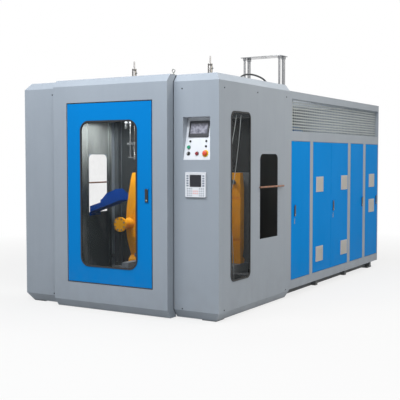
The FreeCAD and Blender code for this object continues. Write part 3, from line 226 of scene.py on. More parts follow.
def raised(tree, shader, height, strength, distance):
    """A height over the surface as a bump on the shader."""
    bump = add(tree, "ShaderNodeBump", {"Height": height, "Strength": strength, "Distance": distance})
    tree.links.new(bump.outputs["Normal"], shader.inputs["Normal"])


def coated(name, code, roughness=0.42, mottling=0.16, runs=0.08, dust=0.35, grain=650.0, strength=0.12,
           **sockets):
    """Powder-coated sheet: aged colour, rougher where soiled, and the coat's own skin."""
    material, tree, shader = new_look(name, roughness, **sockets)
    soiled = aged_colour(tree, shader, paint(code), "#6E6A62", mottling, runs, dust)
    feed(tree, shader.inputs["Roughness"], share(tree, soiled, 0.0, 0.6, roughness, min(1.0, roughness + 0.3)))
    raised(tree, shader, placed(tree, COAT, {"Grain": grain, "Wave": 0.6})["Height"], strength, 0.0004)
    return material


def metal(name, code, roughness, lines=(400, 400, 6), strength=0.1, soil=0.15):
    """Bare metal with drawn lines and a little handling soil."""
    material, tree, shader = new_look(name, roughness, 1.0)
    aged_colour(tree, shader, paint(code), "#57524B", soil, soil * 0.5, 0.3)
    line = placed(tree, LINES, {"Scale": lines})
    smooth, rough = max(0.02, roughness - 0.08), roughness + 0.12
    feed(tree, shader.inputs["Roughness"], share(tree, line["Line"], 0.0, 1.0, smooth, rough))
    raised(tree, shader, line["Height"], strength, 0.0003)
    return material


def moulded(name, code, roughness, grain=900.0, strength=0.1, dust=0.2, **sockets):
    """Moulded plastic or rubber with a fine spark-eroded grain."""
    return coated(name, code, roughness, 0.08, 0.03, dust, grain, strength, **sockets)


def enamelled_casting(name, code, grease, amount, roughness=0.42):
    """Enamel over a sand-cast skin, duller where grease has settled."""
    material, tree, shader = new_look(name, roughness, Specular_IOR_Level=0.25)
    skin = placed(tree, CAST, {"Color": paint(code), "Grease": paint(grease), "Amount": amount})
    aged_colour(tree, shader, skin["Color"], "#4C4436", 0.2, 0.1, 0.35)
    feed(tree, shader.inputs["Roughness"], share(tree, skin["Mask"], 0.0, 0.5, roughness, roughness + 0.25))
    raised(tree, shader, skin["Height"], 0.25, 0.0012)
    return material


def pane_look():
    """Clear sheet: grey tint, a hard gloss, and smears that dull it in patches."""
    material, tree, shader = new_look("tinted pane", 0.03, IOR=1.5)
    shader.inputs["Base Color"].default_value = paint("#3B4348")
    smear = noise(tree, place_on_object(tree), 3.5, 5.0, 0.7)
    feed(tree, shader.inputs["Roughness"], share(tree, smear, 0.45, 0.8, 0.02, 0.12))
    feed(tree, shader.inputs["Alpha"], share(tree, smear, 0.3, 0.9, 0.06, 0.13))
    return material


def display_look(name, dark, light, glow):
    """A lit display: soft blotches between two greys."""
    material, tree, shader = new_look(name, 0.2, Coat_Weight=0.4, Coat_Roughness=0.08)
    blotch = noise(tree, place_on_object(tree), 26.0, 3.0)
    picture = blend_colours(tree, share(tree, blotch, 0.42, 0.62), paint(dark), paint(light))
    tree.links.new(picture, shader.inputs["Base Color"])
    tree.links.new(picture, shader.inputs["Emission Color"])
    shader.inputs["Emission Strength"].default_value = glow
    return material


def lining_look():
    """Zinc-coated sheet with painted shade: dark low in the cabin and bright up high, broken by soft random
    clouds, with spangle and drawn lines.
    """
    material, tree, shader = new_look("zinc lining sheet", 0.4, 0.3)
    cloud = share(tree, noise(tree, stretched(tree, (2.2, 2.2, 0.9)), 2.0, 5.0), 0.3, 0.7, -0.22, 0.22)
    # painted shade: the colour runs from dark near the cabin floor to bright under the roof, with random
    # clouds over it
    level = maths(tree, "ADD", share(tree, height_above_floor(tree), 0.9, 2.15), cloud)
    shaded_zinc_colour = blend_colours(tree, share(tree, level, 0.0, 1.0), paint("#33393A"), paint("#C9CFCE"))
    tree.links.new(shaded_zinc_colour, shader.inputs["Base Color"])
    spangle = add(tree, "ShaderNodeTexVoronoi", {"Vector": place_on_object(tree), "Scale": 55.0})
    feed(tree, shader.inputs["Roughness"], share(tree, spangle.outputs["Distance"], 0.0, 0.6, 0.28, 0.46))
    raised(tree, shader, placed(tree, LINES, {"Scale": (300, 300, 6)})["Height"], 0.1, 0.0003)
    return material


def rusty(name):
    """Browned round bar: turned grooves across it, and rust in patches."""
    material, tree, shader = new_look(name, 0.55, 0.5)
    where = place_on_object(tree)
    patch = noise(tree, where, 30.0, 6.0, 0.7)
    colour = blend_colours(tree, share(tree, patch, 0.4, 0.62), paint("#6B5346"), paint("#A87A62"))
    tree.links.new(colour, shader.inputs["Base Color"])
    feed(tree, shader.inputs["Roughness"], share(tree, patch, 0.4, 0.6, 0.4, 0.75))
    groove = add(tree, "ShaderNodeTexWave", {"Vector": where, "Scale": 60.0}, bands_direction="Y")
    raised(tree, shader, groove.outputs["Fac"], 0.5, 0.0008)
    return material


SHEEN = {"Specular_IOR_Level": 0.2}
BLUE_SHEEN = {"Specular_IOR_Level": 0.05}
LEAF_SHEEN = {"Specular_IOR_Level": 0.012}
CAP_GLOSS = {"dust": 0.0, "Coat_Weight": 0.3}
ALONG_Z = (60, 60, 900)             # drawn lines square to an upright bar's axis

LOOK = {
    "cover_paint": coated("pale grey powder coat", "#949CA5", 0.45, 0.12, 0.06, 0.12, **SHEEN),
    "frame_paint": coated("grey frame paint", "#6F7478", 0.5, 0.25, 0.1, 0.4, **SHEEN),
    "door_blue": coated("bright blue powder coat", "#0678C0", 0.36, 0.1, 0.03, 0.12, 800.0, 0.06,
                        **BLUE_SHEEN),
    "cabinet_blue": coated("cabinet blue powder coat", "#0582D0", 0.36, 0.12, 0.04, 0.15, 800.0, 0.06,
                           **LEAF_SHEEN),
    "vent_plastic": moulded("grille plastic", "#B4B2AE", 0.5),
    "seal_rubber": moulded("black seal rubber", "#17181A", 0.6, 1200.0, 0.2),
    "tinted_glass": pane_look(),
    "lever_plastic": moulded("black lever plastic", "#17191B", 0.38),
    "white_console": coated("white console paint", "#DADDE2", 0.4, 0.05, 0.02, 0.0, **SHEEN),
    "dark_screen": moulded("screen bezel plastic", "#33353B", 0.35, dust=0.0),
    "platen_yellow": enamelled_casting("ochre enamel on casting", "#F0A408", "#3A2A12", 0.35),
    "guide_steel": metal("ground guide steel", "#A9ACAE", 0.24, ALONG_Z, 0.012),
    "bright_chrome": metal("hard chrome", "#6C6A68", 0.2, ALONG_Z, 0.01, 0.3),
    "brown_steel": rusty("browned steel bar"),
    "punched_sheet": coated("punched sheet paint", "#A4ABAC", 0.45, dust=0.0, **SHEEN),
    "barrel_steel": metal("heat-stained steel", "#8E8A84", 0.4, (300, 6, 300), 0.2, 0.5),
    "drive_paint": coated("drive enamel", "#2F6FA6", 0.4, 0.25, 0.1, 0.4, **SHEEN),
    "rack_plastic": moulded("rack housing plastic", "#8F9391", 0.5),
    "hopper_sheet": metal("folded hopper sheet", "#A6A9AA", 0.3, (30, 30, 500), 0.12),
    "column_steel": metal("polished column bar", "#97989A", 0.16, ALONG_Z, 0.01, 0.2),
    "hose_rubber": moulded("hose cover rubber", "#1C1F22", 0.55, 1500.0, 0.25),
    "green_plastic": moulded("green cap plastic", "#0E8A66", 0.3, **CAP_GLOSS),
    "red_plastic": moulded("red cap plastic", "#7E1020", 0.3, **CAP_GLOSS),
    "key_metal": metal("key metal", "#A9A9A4", 0.26, (300, 300, 300), 0.02),
}
ORANGE_CAP = moulded("orange-red cap plastic", "#C63A14", 0.32, **CAP_GLOSS)
YELLOW_RING = moulded("yellow ring plastic", "#E0B81C", 0.4, dust=0.0)
KEY_GREY = moulded("grey key film", "#7C8490", 0.5, dust=0.0)
KEY_PINK = moulded("pink key film", "#D98F88", 0.5, dust=0.0)
GLASS_BLACK = moulded("dark display glass", "#0E1420", 0.12, 200.0, 0.0, 0.0)
SCREEN_GREY = display_look("grey display", "#5A5B68", "#8C8C98", 0.12)
# blackened screw heads, also used for the dark dots of painted shade at the left hatch's perforations
SCREW_AND_HOLE_SHADE_BLACK = metal("blackened screw and hole shade", "#1C1E21", 0.42)
BOLT_STEEL = metal("zinc bolt", "#8C8D8A", 0.35)
AIR_LINE = moulded("clear grey air line", "#AEB6BA", 0.3, dust=0.0)
VALVE_BLUE = moulded("blue valve plastic", "#1650A8", 0.35, dust=0.0)
ZINC = lining_look()
# painted shade: the cabin's rear sheet gets a dark grey that stands in for the shade at the back of the cabin
REAR_SHADE_GREY = coated("dark grey painted shade", "#34383A", 0.5, 0.3, 0.2, 0.3, **SHEEN)
OWN_LOOK = {
    # the console recess walls get a grey between the white panel and the cover: partly the folded sheet's own
    # grey, partly painted shade inside the recess
    "operator_console": coated("recess grey with painted shade", "#B0B7BF", 0.5, 0.1, 0.05, 0.0, **SHEEN),
    "product_chute": coated("chute blue enamel", "#023E92", 0.35, 0.15, 0.05, 0.0, 800.0, 0.05, **BLUE_SHEEN),
    "cabin_frame": coated("dark grey frame paint", "#4A4F53", 0.5, 0.25, 0.15, 0.3, **SHEEN),
}


def paint_cad_nodes():
    """Every CAD node gets the look of its material slot, or a look of its own."""
    for name, node in NODES.items():
        node.data.materials.clear()
        node.data.materials.append(OWN_LOOK.get(name, LOOK[SLOTS[name]]))


# ---------------------------------------------------------------- places

def axes(out, up=(0, 0, 1)):
    """Three unit rows for a piece that faces out: across, up and out."""
    out = np.array(out, float) / np.linalg.norm(out)
    across = np.cross(up, out)
    across = across / np.linalg.norm(across)
    return np.array([across, np.cross(out, across), out])


TO_FRONT = axes((0, -1, 0))
TO_REAR = axes((0, 1, 0))
TO_RIGHT = axes((1, 0, 0))
TO_LEFT = axes((-1, 0, 0))
TO_TOP = axes((0, 0, 1), (0, 1, 0))
TILT = math.radians(13)             # lean of the console panel
TO_PANEL = axes((0, -math.cos(TILT), math.sin(TILT)))
PANEL_FOOT_Y, PANEL_FOOT_Z = 4, 1468


def at(x, y, z):
    """A place given in millimetres with Y from the front plane."""
    return np.array([x / 1000, y / 1000 + FRONT, z / 1000])


def on_panel(across, along):
    """A place on the leaning console panel: millimetres across, and up the panel from its foot."""
    return at(across, PANEL_FOOT_Y + along * math.sin(TILT), PANEL_FOOT_Z + along * math.cos(TILT))


def circle_of(centre, radius, basis, count, start=0.0):
    """Places on a circle: place k is centre + radius (cos a across + sin a up)."""
    a = start + np.arange(count) * FULL_TURN / count
    return np.asarray(centre) + radius * (np.outer(np.cos(a), basis[0]) + np.outer(np.sin(a), basis[1]))


def four_corners(centre, half_x, half_y, up):
    """The corners of a flat rectangle, lifted above its centre."""
    return [centre + np.array([i * half_x, j * half_y, up]) for i in (-1, 1) for j in (-1, 1)]


# ---------------------------------------------------------------- shapes as arrays

LEAST_CORNER = 1e-5


def quads(rings, count, closed=False):
    """Quads between the rings of a grid: ring i joins ring i + 1, and if closed the last joins the first."""
    i, j = np.meshgrid(np.arange(rings if closed else rings - 1), np.arange(count), indexing="ij")
    k, after = (j + 1) % count, (i + 1) % rings
    corners = [i * count + j, i * count + k, after * count + k, after * count + j]
    return np.stack(corners, -1).reshape(-1, 4).tolist()


def capped(rings, count):
    """Quads between the rings of a grid, and a flat cap on the first and the last."""
    last = (rings - 1) * count
    return quads(rings, count) + [list(range(count - 1, -1, -1)), list(range(last, last + count))]


def lathe(profile, sides=24):
    """Surface of revolution: point(t, a) = (r(t) cos a, r(t) sin a, depth(t)), with a flat cap on each end."""
    r, depth = np.array(profile, float).T
    a = np.linspace(0, FULL_TURN, sides, endpoint=False)
    points = np.stack([np.outer(r, np.cos(a)), np.outer(r, np.sin(a)), np.outer(depth, np.ones(sides))], -1)
    return points.reshape(-1, 3), capped(len(r), sides)


def collar(profile, sides=32):
    """Turned ring: like lathe, but the profile closes on itself, so that a bore stays open."""
    return lathe(profile, sides)[0], quads(len(profile), sides, closed=True)


def slab(half_wide, half_high, corner, profile, arc=5):
    """Rounded rectangle carried along a profile of (inset, depth): each ring is the outline moved in by inset.

    Corner k's points are centre k + radius (cos a, sin a) with a running over its own quarter turn.
    """
    a = np.add.outer(np.arange(4) * math.pi / 2, np.linspace(0, math.pi / 2, arc)).ravel()
    side = np.repeat([(1, 1), (-1, 1), (-1, -1), (1, -1)], arc, axis=0)
    rings = []
    for inset, depth in profile:
        reach = np.array([half_wide, half_high]) - inset
        radius = min(max(corner - inset, LEAST_CORNER), *reach)
        flat = side * (reach - radius) + radius * np.column_stack([np.cos(a), np.sin(a)])
        rings.append(np.column_stack([flat, np.full(len(flat), depth)]))
    return np.concatenate(rings), capped(len(profile), 4 * arc)


def frame_ring(half_wide, half_high, corner, profile, arc=5):
    """Like slab, but the profile closes on itself, so that it leaves the middle open."""
    return slab(half_wide, half_high, corner, profile, arc)[0], quads(len(profile), 4 * arc, closed=True)


def edge(height, round_off=0.0008):
    """Profile of a plate from its back to its front, with its front edge rounded off over a quarter turn."""
    a = np.linspace(0, math.pi / 2, 4)
    return [(0.0, 0.0)] + [(round_off * (1 - math.cos(q)), height - round_off * (1 - math.sin(q))) for q in a]


def block(height):
    """Profile of a plate with sharp edges."""
    return [(0, 0), (0, height)]


def torus(major, minor, around=40, section=12):
    """Ring: point(u, v) = ((R + r cos v) cos u, (R + r cos v) sin u, r sin v)."""
    u, v = np.meshgrid(np.linspace(0, FULL_TURN, around, endpoint=False),
                       np.linspace(0, FULL_TURN, section, endpoint=False), indexing="ij")
    reach = major + minor * np.cos(v)
    points = np.stack([reach * np.cos(u), reach * np.sin(u), minor * np.sin(v)], -1).reshape(-1, 3)
    return points, quads(around, section, closed=True)


def tube(path, radius, sides=8):
    """Round tube: point(i, a) = path i + radius (cos a n + sin a b), with n and b square to the run."""
    path = np.asarray(path, float)
    run = np.gradient(path, axis=0)
    run /= np.linalg.norm(run, axis=1, keepdims=True)
    aside = np.array([0.31, 0.17, 0.93])         # along none of the runs
    n = np.cross(run, aside)
    n /= np.linalg.norm(n, axis=1, keepdims=True)
    b = np.cross(run, n)
    a = np.linspace(0, FULL_TURN, sides, endpoint=False)
    ring = n[:, None, :] * np.cos(a)[None, :, None] + b[:, None, :] * np.sin(a)[None, :, None]
    return (path[:, None, :] + radius * ring).reshape(-1, 3), capped(len(path), sides)


def hung(start, end, sag, bulge, steps=24):
    """Slack line: point(t) = start + t (end - start) + 4 t (1 - t) (bulge - sag up)."""
    t = np.linspace(0, 1, steps)[:, None]
    return start + t * (end - start) + 4 * t * (1 - t) * (np.array(bulge, float) - np.array([0, 0, sag]))


def hexagon_head(across, height):
    """Hexagon bolt head with a turned chamfer."""
    reach = across / math.sqrt(3)
    return lathe([(reach, 0), (reach, height * 0.85), (reach * 0.86, height)], 6)


def net_cell(pitch, hole, cut, thick):
    """One cell of a punched sheet: a slot with cut corners, from its rim out to the cell's edge on both faces.

    Point i of the hole lies at (+-a, +-(b - cut)) or (+-(a - cut), +-b); the outer ring repeats those places
    on the cell's edge and adds its four corners.
    """
    (A, B), (a, b) = np.array(pitch) / 2, np.array(hole) / 2
    inner = [(a, cut - b), (a, b - cut), (a - cut, b), (cut - a, b),
             (-a, b - cut), (-a, cut - b), (cut - a, -b), (a - cut, -b)]
    outer = [(A, cut - b), (A, b - cut), (A, B), (a - cut, B), (cut - a, B), (-A, B),
             (-A, b - cut), (-A, cut - b), (-A, -B), (cut - a, -B), (a - cut, -B), (A, -B)]
    flat = np.array(inner + outer)
    count = len(flat)
    points = np.concatenate([np.column_stack([flat, np.full(count, z)]) for z in (thick, 0.0)])
    face = [(8, 9, 1, 0), (11, 12, 3, 2), (14, 15, 5, 4), (17, 18, 7, 6),
            (1, 9, 10, 11, 2), (3, 12, 13, 14, 4), (5, 15, 16, 17, 6), (7, 18, 19, 8, 0)]
    back = [tuple(i + count for i in reversed(one)) for one in face]
    wall = [(i, (i + 1) % 8, (i + 1) % 8 + count, i + count) for i in range(8)]
    return points, face + back + wall


def open_sheet(outer, hole, thick):
    """Flat sheet with a rectangular opening: on each face a loop of outer corners and a loop of inner ones.

    Each box is (start, end, low, high).
    """
    def loop(box, depth):
        """The four corners of a box at one depth."""
        start, end, low, high = box
        return [(start, low, depth), (end, low, depth), (end, high, depth), (start, high, depth)]
    points = loop(outer, 0.0) + loop(hole, 0.0) + loop(hole, thick) + loop(outer, thick)
    return np.array(points), quads(4, 4, closed=True)


def folded_strip(start, end, low, high, lip, thick):
    """Sheet with its upright edges folded in by a lip: a U-shaped outline in (along, in) carried upwards."""
    outline = np.array([(start, lip), (start, 0), (end, 0), (end, lip), (end - thick, lip),
                        (end - thick, thick), (start + thick, thick), (start + thick, lip)])
    count = len(outline)
    rings = [np.column_stack([outline[:, 0], np.full(count, z), outline[:, 1]]) for z in (low, high)]
    caps = [(0, 1, 6, 7), (1, 2, 5, 6), (2, 3, 4, 5)]
    top_caps = [tuple(i + count for i in reversed(cap)) for cap in caps]
    return np.concatenate(rings), quads(2, count) + caps + top_caps


def bored_plate(half_x, half_y, bore, profile, sides=40):
    """Rectangular plate with a round bore: every ring's point k lies on ray k from the middle.

    A ray meets the rectangle at the smaller of half_x / |cos a| and half_y / |sin a|, and the point nearest to
    a corner is moved onto it. The profile says for each ring if it's on the bore, its size and its depth.
    """
    a = (np.arange(sides) + 0.5) * FULL_TURN / sides
    ray = np.column_stack([np.cos(a), np.sin(a)])
    outline = ray * np.min(np.array([half_x, half_y]) / np.abs(ray), axis=1, keepdims=True)
    corners = np.array([(1, 1), (-1, 1), (-1, -1), (1, -1)]) * (half_x, half_y)
    corner_angle = np.arctan2(corners[:, 1], corners[:, 0]) % FULL_TURN
    outline[np.argmin(np.abs(a - corner_angle[:, None]), axis=1)] = corners
    rings = [np.column_stack([(ray * bore if bored else outline) * size, np.full(sides, depth)])
             for bored, size, depth in profile]
    return np.concatenate(rings), quads(len(profile), sides, closed=True)


# ---------------------------------------------------------------- pieces

def set_in(points, where, basis):
    """Local (across, up, out) points moved to a place and turned to a basis."""
    return np.asarray(points, float) @ basis + np.asarray(where, float)


def fit(shape, where, basis, look):
    """One shape at its place, as a part of a piece."""
    points, faces = shape
    return set_in(points, where, basis), faces, look


def repeat(shape, places, basis, look):
    """One shape at many places, as a part of a piece: points are the turned shape + place for every pair."""
    points, faces = shape
    places = np.array(places, float).reshape(-1, 3)
    spread = (set_in(points, (0, 0, 0), basis)[None, :, :] + places[:, None, :]).reshape(-1, 3)
    return spread, [[i + n * len(points) for i in face] for n in range(len(places)) for face in faces], look


def piece(name, parts, body="machine", replaces=(), angle=32):
    """One object from (points, faces, material) parts; it rides on a body and may stand for CAD nodes."""
    mesh = bpy.data.meshes.new(name)
    points, faces, looks, index = [], [], [], []
    offset = 0
    for part_points, part_faces, look in parts:
        points.append(np.asarray(part_points, float))
        faces += [tuple(int(i) + offset for i in face) for face in part_faces]
        if look not in looks:
            looks.append(look)
        index += [looks.index(look)] * len(part_faces)
        offset += len(part_points)
    mesh.from_pydata(np.concatenate(points).tolist(), [], faces)
    for look in looks:
        mesh.materials.append(look)
    mesh.polygons.foreach_set("material_index", index)
    mesh.polygons.foreach_set("use_smooth", np.ones(len(faces), bool))
    work = bmesh.new()
    work.from_mesh(mesh)
    bmesh.ops.recalc_face_normals(work, faces=work.faces)
    work.to_mesh(mesh)
    work.free()
    mesh.set_sharp_from_angle(angle=math.radians(angle))
    item = bpy.data.objects.new(name, mesh)
    bpy.context.scene.collection.objects.link(item)
    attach(item, body)
    if replaces:
        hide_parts(*replaces)
    return item


# ---------------------------------------------------------------- covers

SIDE_FACE = 1152                    # X of the right cover's outer face, in millimetres


def cover_screws():
    """Domed screw heads with a socket: the profile runs out over the dome and back down into the socket."""
    head = lathe([(0.0065, 0), (0.0065, 0.0012), (0.0055, 0.003), (0.0035, 0.0038), (0.0032, 0.0038),
                  (0.0028, 0.0018)], 12)
    front = [at(x, 0, z) for x, z in ((-780, 2120), (-780, 105), (766, 2117), (766, 98))]
    side_rows = ((100, 2117), (758, 2117), (1421, 2117), (100, 104), (1421, 104))
    piece("cover_screws", [repeat(head, front, TO_FRONT, SCREW_AND_HOLE_SHADE_BLACK),
                           repeat(head, [at(SIDE_FACE, y, z) for y, z in side_rows], TO_RIGHT, SCREW_AND_HOLE_SHADE_BLACK),
                           repeat(head, [at(-SIDE_FACE, y, z) for y, z in side_rows], TO_LEFT, SCREW_AND_HOLE_SHADE_BLACK)])


def door_gasket_and_gap_shade():
    """Black rubber edging round the front doorway, one millimetre proud of the cover: a real edging, made wide
    and black so that it also gives the painted shade of the door gap.
    """
    half_doorway = np.array([0.4975, 0.867])
    lap, proud = 0.010, 0.001
    ring = frame_ring(*(half_doorway + lap), 0.002, [(0, 0), (0, 0.0007), (0.0006, proud), (0.0054, proud),
                                                     (0.006, 0.0007), (0.006, 0)])
    piece("doorway_edging_and_gap_shade", [fit(ring, at(2.5, -108, 1144), TO_FRONT, LOOK["seal_rubber"])])


def hatch_bars():
    """Browned bar with rounded ends across each hatch, on threaded studs with a nut inside the cover."""
    bar_x, nut_x, bar_z = 1170, 1141, 1200
    nut = hexagon_head(0.018, 0.007)
    stud = lathe([(0.0040, -0.030), (0.0040, 0.0)], 12)
    parts = []
    for side, outward, start, end, stud_rows in ((1, TO_RIGHT, 779, 1328, (800, 1252)),
                                                 (-1, TO_LEFT, 995, 1472, (1016, 1396))):
        length = (end - start) / 1000
        shaft = lathe([(0.0062, 0), (0.0088, 0.0025), (0.0088, length - 0.0025), (0.0062, length)], 20)
        parts.append(fit(shaft, at(side * bar_x, start, bar_z), TO_REAR, LOOK["brown_steel"]))
        for y in stud_rows:
            parts.append(fit(stud, at(side * bar_x, y, bar_z), outward, BOLT_STEEL))
            parts.append(fit(nut, at(side * nut_x, y, bar_z), outward, BOLT_STEEL))
    piece("hatch_bars", parts, replaces=("guard_bars",))


# ---------------------------------------------------------------- console

GREEN_AT, RED_AT, KEY_AT, STOP_AT = (821, 118), (915, 59), (824, 59), (1002, 60)
PLUGS_AT = ((830, 174), (998, 175), (1000, 127))
STEM = [(0.0096, -0.018)]           # foot of a button's stem: radius, and depth behind the panel


def console_panel():
    """White sheet on the leaning face of the console, with a small radius all round."""
    sheet = slab(0.1408, 0.1985, 0.004, edge(0.0012, 0.0006))
    piece("console_white_panel", [fit(sheet, on_panel(917.5, 200), TO_PANEL, LOOK["white_console"])])


def console_screen():
    """Screen: a rounded bezel around a sunk lip and a lit display."""
    where = on_panel(910, 287)
    bezel = frame_ring(0.105, 0.075, 0.006,
                       edge(0.011, 0.002) + [(0.012, 0.011), (0.013, 0.008), (0.013, 0.0)])
    lip = slab(0.0935, 0.0635, 0.002, block(0.0085))
    display = slab(0.088, 0.0465, 0.001, [(0, 0.008), (0, 0.009)])
    lift = TO_PANEL[1] * 0.004
    piece("console_display", [fit(bezel, where, TO_PANEL, LOOK["dark_screen"]),
                              fit(lip, where, TO_PANEL, LOOK["dark_screen"]),
                              fit(display, where + lift, TO_PANEL, SCREEN_GREY)],
          replaces=("touch_screen",))


def bezel_ring(spot, radius, height, hole, look):
    """A turned ring with a rounded outer edge around a button's hole."""
    ring = collar([(hole, 0), (radius, 0), (radius, height * 0.6), (radius - 0.0015, height),
                   (hole + 0.001, height), (hole, height - 0.001)])
    return fit(ring, on_panel(*spot), TO_PANEL, look)


def console_rings():
    """Chrome rings round the two buttons and the key switch, a yellow one, and three plugs."""
    plug = lathe([(0.0105, 0), (0.0105, 0.005), (0.0095, 0.0073), (0.006, 0.0078), (0.0056, 0.0066)], 20)
    chrome = LOOK["bright_chrome"]
    rings = [bezel_ring(spot, 0.0190, 0.005, 0.0162, chrome) for spot in (GREEN_AT, KEY_AT, RED_AT)]
    rings.append(bezel_ring(STOP_AT, 0.0325, 0.0046, 0.0107, YELLOW_RING))
    rings += [fit(plug, on_panel(*spot), TO_PANEL, LOOK["lever_plastic"]) for spot in PLUGS_AT]
    piece("console_rings", rings)


def push_buttons():
    """A green and a red button: a stem below a wide cap with a low dome."""
    cap = lathe(STEM + [(0.0096, 0.0055), (0.0152, 0.0058), (0.0156, 0.012), (0.0146, 0.0142), (0.009, 0.0148),
                        (0.003, 0.015)], 28)
    for colour, spot, node in (("green", GREEN_AT, "green_button"), ("red", RED_AT, "stop_button")):
        look = colour + "_plastic"
        piece(colour + "_cap", [fit(cap, on_panel(*spot), TO_PANEL, LOOK[look])],
              colour + "_push_button", (node,))


def emergency_button():
    """Mushroom cap: the dome's profile is (R cos a, foot + h sin a), on a stem and a flared skirt."""
    a = np.linspace(0, math.pi / 2, 7)
    radius, foot, rise, spread = 0.0240, 0.0165, 0.0093, 0.9
    dome = [(radius * math.cos(q * spread), foot + rise * math.sin(q)) for q in a]
    cap = lathe(STEM + [(0.0096, 0.012), (0.018, 0.0122), (0.0236, 0.0145)] + dome, 36)
    piece("emergency_cap", [fit(cap, on_panel(*STOP_AT), TO_PANEL, ORANGE_CAP)], "emergency_push_button",
          ("emergency_stop",))


def key_selector():
    """Turned barrel of the key switch with a flat blade across it."""
    barrel = lathe(STEM + [(0.0096, 0.0025), (0.0155, 0.003), (0.0155, 0.0085), (0.0145, 0.0092),
                           (0.003, 0.0092)], 28)
    blade = slab(0.003, 0.009, 0.0025, [(0.0006, 0.008), (0, 0.0088), (0, 0.0212), (0.0006, 0.0218)])
    where = on_panel(*KEY_AT)
    piece("key_selector_barrel", [fit(barrel, where, TO_PANEL, LOOK["lever_plastic"]),
                                  fit(blade, where, TO_PANEL, LOOK["key_metal"])],
          "key_selector", ("key_switch",))


def controller_face():
    """Film keypad: dark display with five keys down each side, two blocks of small keys and a pink block."""
    def spots(columns, rows):
        """Places on the keypad's face, in millimetres from its middle."""
        return [at(915.5 + x, -14, 1245 + z) for x in columns for z in rows]

    rim = frame_ring(0.1075, 0.113, 0.010,
                     edge(0.003, 0.0012) + [(0.006, 0.0028), (0.007, 0.0004), (0.007, 0.0)])
    side_key = slab(0.0105, 0.0068, 0.002, edge(0.0026, 0.0008))
    small_key = slab(0.0058, 0.0052, 0.0015, edge(0.0009, 0.0004))
    mount = slab(0.061, 0.055, 0.001, edge(0.0008, 0.0003))
    glass = slab(0.054, 0.048, 0.001, block(0.0012))
    middle, display = spots((0,), (0,)), spots((0,), (34,))
    grey_blocks = spots((-44, -64, -84, 44, 64, 84), (-37, -58, -79, -99))
    piece("controller_keypad",
          [repeat(rim, middle, TO_FRONT, LOOK["white_console"]),
           repeat(side_key, spots((-83.5, 83.5), (79, 57, 35, 13, -9)), TO_FRONT, KEY_GREY),
           repeat(small_key, grey_blocks, TO_FRONT, KEY_GREY),
           repeat(small_key, spots((-20, 0, 20), (-58, -79)), TO_FRONT, KEY_PINK),
           repeat(mount, display, TO_FRONT, LOOK["dark_screen"]),
           repeat(glass, display, TO_FRONT, GLASS_BLACK)])


# ---------------------------------------------------------------- locks and keys

LOCK_Y = {"first": 1640, "third": 2750, "fourth": 3758, "fifth": 4310}


def lock_cylinders():
    """A turned cylinder with a key slot on each lever."""
    disc = lathe([(0.0085, 0), (0.0085, 0.0012), (0.0078, 0.002), (0.004, 0.0021)], 20)
    key_slot = slab(0.0008, 0.0045, 0.0006, [(0, 0.001), (0, 0.0025)])
    levers = {"front_door_lever": (at(448, -117.5, 1094), TO_FRONT)}
    levers.update({name + "_lever": (at(1163, y, 880), TO_RIGHT) for name, y in LOCK_Y.items()})
    for name, (where, basis) in levers.items():
        piece(name + "_cylinder", [fit(disc, where, basis, LOOK["key_metal"]),
                                   fit(key_slot, where, basis, LOOK["lever_plastic"])], name)


def hanging_keys():
    """Below two of the locks a staple on the leaf, and a ring with two keys that hang flat against it."""
    staple = torus(0.0045, 0.0012, 20, 8)
    ring = torus(0.0110, 0.0009, 32, 8)
    bow = frame_ring(0.0075, 0.0075, 0.0075,
                     [(0, 0), (0, 0.0012), (0.0003, 0.0016), (0.0048, 0.0016), (0.0048, 0)])
    shank = slab(0.0024, 0.0115, 0.0008, edge(0.0014, 0.0003))
    tooth = slab(0.0018, 0.0008, 0.0002, edge(0.0014, 0.0002))
    steel = LOOK["key_metal"]
    for name in ("first", "third"):
        sheet = at(SIDE_FACE, LOCK_Y[name], 838)
        parts = [fit(staple, sheet, axes((0, 1, 0)), steel),
                 fit(ring, sheet + (0.0036, 0, -0.0095), axes((1, 0.12, 0.1)), steel)]
        for lean, out in ((-0.20, 0.0006), (0.24, 0.0022)):
            hang = axes((1, 0, 0), (0, lean, 1))
            top, across, down = sheet + (out, 0, -0.0215), hang[0], -hang[1]
            parts += [fit(bow, top + down * 0.0060, hang, steel), fit(shank, top + down * 0.0240, hang, steel)]
            parts += [fit(tooth, top + down * drop + across * 0.0036, hang, steel)
                      for drop in (0.026, 0.0295, 0.033)]
        piece(name + "_leaf_keys", parts, name + "_leaf")


# ---------------------------------------------------------------- net

def punched_net():
    """Punched sheet behind the cabinet's long upper opening, on both sides, in a plain edge strip."""
    opening_y, opening_z, net_x = (1560, 4377), (1768, 2110), 1110.2
    columns, rows, bridge, thick = 56, 11, 0.012, 0.0016
    pitch = np.array([np.ptp(opening_y) / columns, np.ptp(opening_z) / rows]) / 1000
    cell = net_cell(pitch, pitch - bridge, 0.003, thick)
    strip = frame_ring((np.ptp(opening_y) + 24) / 2000, (np.ptp(opening_z) + 24) / 2000, 0.004,
                       edge(0.0018, 0.0004) + [(0.0124, 0.0018), (0.0124, 0.0)])
    for side, basis, name in ((1, TO_RIGHT, "right_net"), (-1, TO_LEFT, "left_net")):
        start = at(side * net_x, opening_y[0], opening_z[0])
        spots = [start + (0, pitch[0] * (i + 0.5), pitch[1] * (j + 0.5))
                 for i in range(columns) for j in range(rows)]
        middle = at(side * net_x, np.mean(opening_y), np.mean(opening_z))
        net = piece(name, [repeat(cell, spots, basis, LOOK["punched_sheet"]),
                           fit(strip, middle, basis, LOOK["punched_sheet"])])
        if side > 0:
            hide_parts("mesh_panels")


# ---------------------------------------------------------------- roof

CABIN_ROOF, CABINET_ROOF = 2250, 2183


